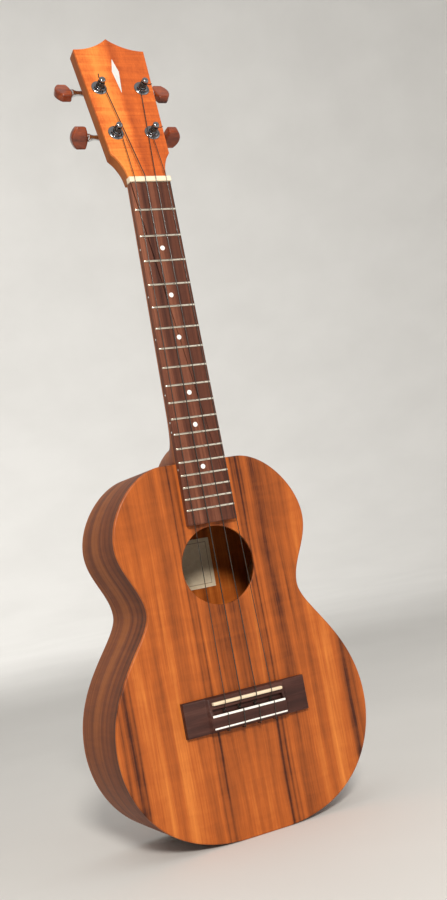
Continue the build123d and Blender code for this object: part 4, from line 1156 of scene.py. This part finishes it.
class UKE_OT_stage(Builder):
    """Set the floor, the lights and the camera"""
    bl_idname = "uke.stage"
    bl_label = "Stage"

    def build(self, context):
        stage = context.scene.uke_stage
        turn = np.linspace(0, 2 * pi, 96, endpoint=False)
        rise = np.linspace(0, pi / 2, 17)
        reach = stage.floor_reach
        bend = [(reach + FLOOR_BEND * sin(a), FLOOR_BEND * (1 - cos(a))) for a in rise[1:]]
        profile = np.array([(0.3, 0.0), (1.0, 0.0), (reach, 0.0)] + bend + [(reach + FLOOR_BEND, WALL_TOP)])
        r, h = profile[:, :1], profile[:, 1:] - FLOOR_GAP
        grid = stack(r * np.cos(turn), r * np.sin(turn), h)
        rows, cols = grid.shape[:2]
        i, j = np.arange(rows - 1)[:, None], np.arange(cols)[None]
        on = (j + 1) % cols
        low, high = i * cols, (i + 1) * cols
        quads = np.stack(np.broadcast_arrays(low + j, high + j, high + on, low + on), -1)
        mesh = bpy.data.meshes.new("floor")
        faces = quads.reshape(-1, 4).tolist() + [list(range(cols))]
        mesh.from_pydata(grid.reshape(-1, 3).tolist(), [], faces)
        mesh.shade_smooth()
        pale = Shader("pale_floor", roughness=0.75)
        spots = pale.noise(pale.position(), (3, 3, 3), detail=3)
        pale.set(base_color=pale.ramp(spots, (0.3, (0.70, 0.69, 0.67)), (0.7, (0.74, 0.73, 0.71))))
        mesh.materials.append(pale.material)
        floor = bpy.data.objects.new("floor", mesh)
        context.scene.collection.objects.link(floor)

        chest = (0, 0, 0.3)
        lights = (("key", (-0.62, -2.05, 1.3), chest, stage.key_power, 0.4, (1.0, 0.95, 0.88)),
                  ("fill", (1.7, -1.4, 0.9), chest, stage.fill_power, 1.4, (0.97, 0.98, 1.0)),
                  ("backdrop", (0, 2.4, 2.8), (0.6, 6.2, 1.2), stage.backdrop_power, 2.0, (1.0, 0.99, 0.97)))
        for name, spot, aim, power, size, colour in lights:
            data = bpy.data.lights.new(name, "AREA")
            data.energy, data.size, data.color = power, size, colour
            lamp = bpy.data.objects.new(name, data)
            back = np.array(spot) - np.array(aim)
            lamp.matrix_world = looking(back, (0, 0, 1), spot)
            context.scene.collection.objects.link(lamp)
        world = context.scene.world or bpy.data.worlds.new("surround")
        context.scene.world = world
        world.use_nodes = True
        sky = world.node_tree.nodes["Background"]
        sky.inputs["Color"].default_value = (1.0, 0.985, 0.96, 1.0)
        sky.inputs["Strength"].default_value = stage.surround

        data = bpy.data.cameras.new("camera")
        data.lens, data.sensor_width, data.clip_start, data.clip_end = stage.lens, 36, 0.01, 60
        camera = bpy.data.objects.new("camera", data)
        camera.matrix_world = looking(CAMERA_BACK, CAMERA_UP, CAMERA_SPOT)
        context.scene.collection.objects.link(camera)
        context.scene.camera = camera
        context.scene.view_settings.view_transform = "Standard"


def looking(back, up, spot):
    """Matrix of a lamp or camera at spot whose back axis and up direction are given."""
    z = np.array(back, float) / np.linalg.norm(back)
    x = np.cross(up, z)
    x /= np.linalg.norm(x)
    matrix = np.eye(4)
    matrix[:3, :3] = np.stack([x, np.cross(z, x), z], 1)
    matrix[:3, 3] = spot
    return Matrix(matrix.tolist())


class UKE_PT_panel(bpy.types.Panel):
    """Ukulele panel in the 3D view's sidebar"""
    bl_label = "Ukulele"
    bl_space_type = "VIEW_3D"
    bl_region_type = "UI"
    bl_category = "Ukulele"

    def draw(self, context):
        for title, group in (("Shape", context.scene.uke_shape), ("Wood", context.scene.uke_wood),
                             ("Stage", context.scene.uke_stage)):
            box = self.layout.box()
            box.label(text=title)
            for key in group.__annotations__:
                box.prop(group, key)
        for operator in OPERATORS:
            self.layout.operator(operator.bl_idname)


GROUPS = {"uke_shape": UkeShape, "uke_wood": UkeWood, "uke_stage": UkeStage}
OPERATORS = (UKE_OT_soundbox, UKE_OT_inside, UKE_OT_neck, UKE_OT_fretboard, UKE_OT_bridge, UKE_OT_strings,
             UKE_OT_tuners, UKE_OT_stage)


def register():
    """Register the settings, the operators and the panel."""
    for key, group in GROUPS.items():
        bpy.utils.register_class(group)
        setattr(bpy.types.Scene, key, PointerProperty(type=group))
    for cls in (*OPERATORS, UKE_PT_panel):
        bpy.utils.register_class(cls)


def unregister():
    """Take it all away again."""
    for cls in (UKE_PT_panel, *OPERATORS[::-1]):
        bpy.utils.unregister_class(cls)
    for key, group in GROUPS.items():
        delattr(bpy.types.Scene, key)
        bpy.utils.unregister_class(group)


def main():
    """Build every piece in order."""
    register()
    bpy.ops.uke.soundbox()
    bpy.ops.uke.inside()
    bpy.ops.uke.neck()
    bpy.ops.uke.fretboard()
    bpy.ops.uke.bridge()
    bpy.ops.uke.strings()
    bpy.ops.uke.tuners()
    bpy.ops.uke.stage()


if __name__ == "__main__":
    main()
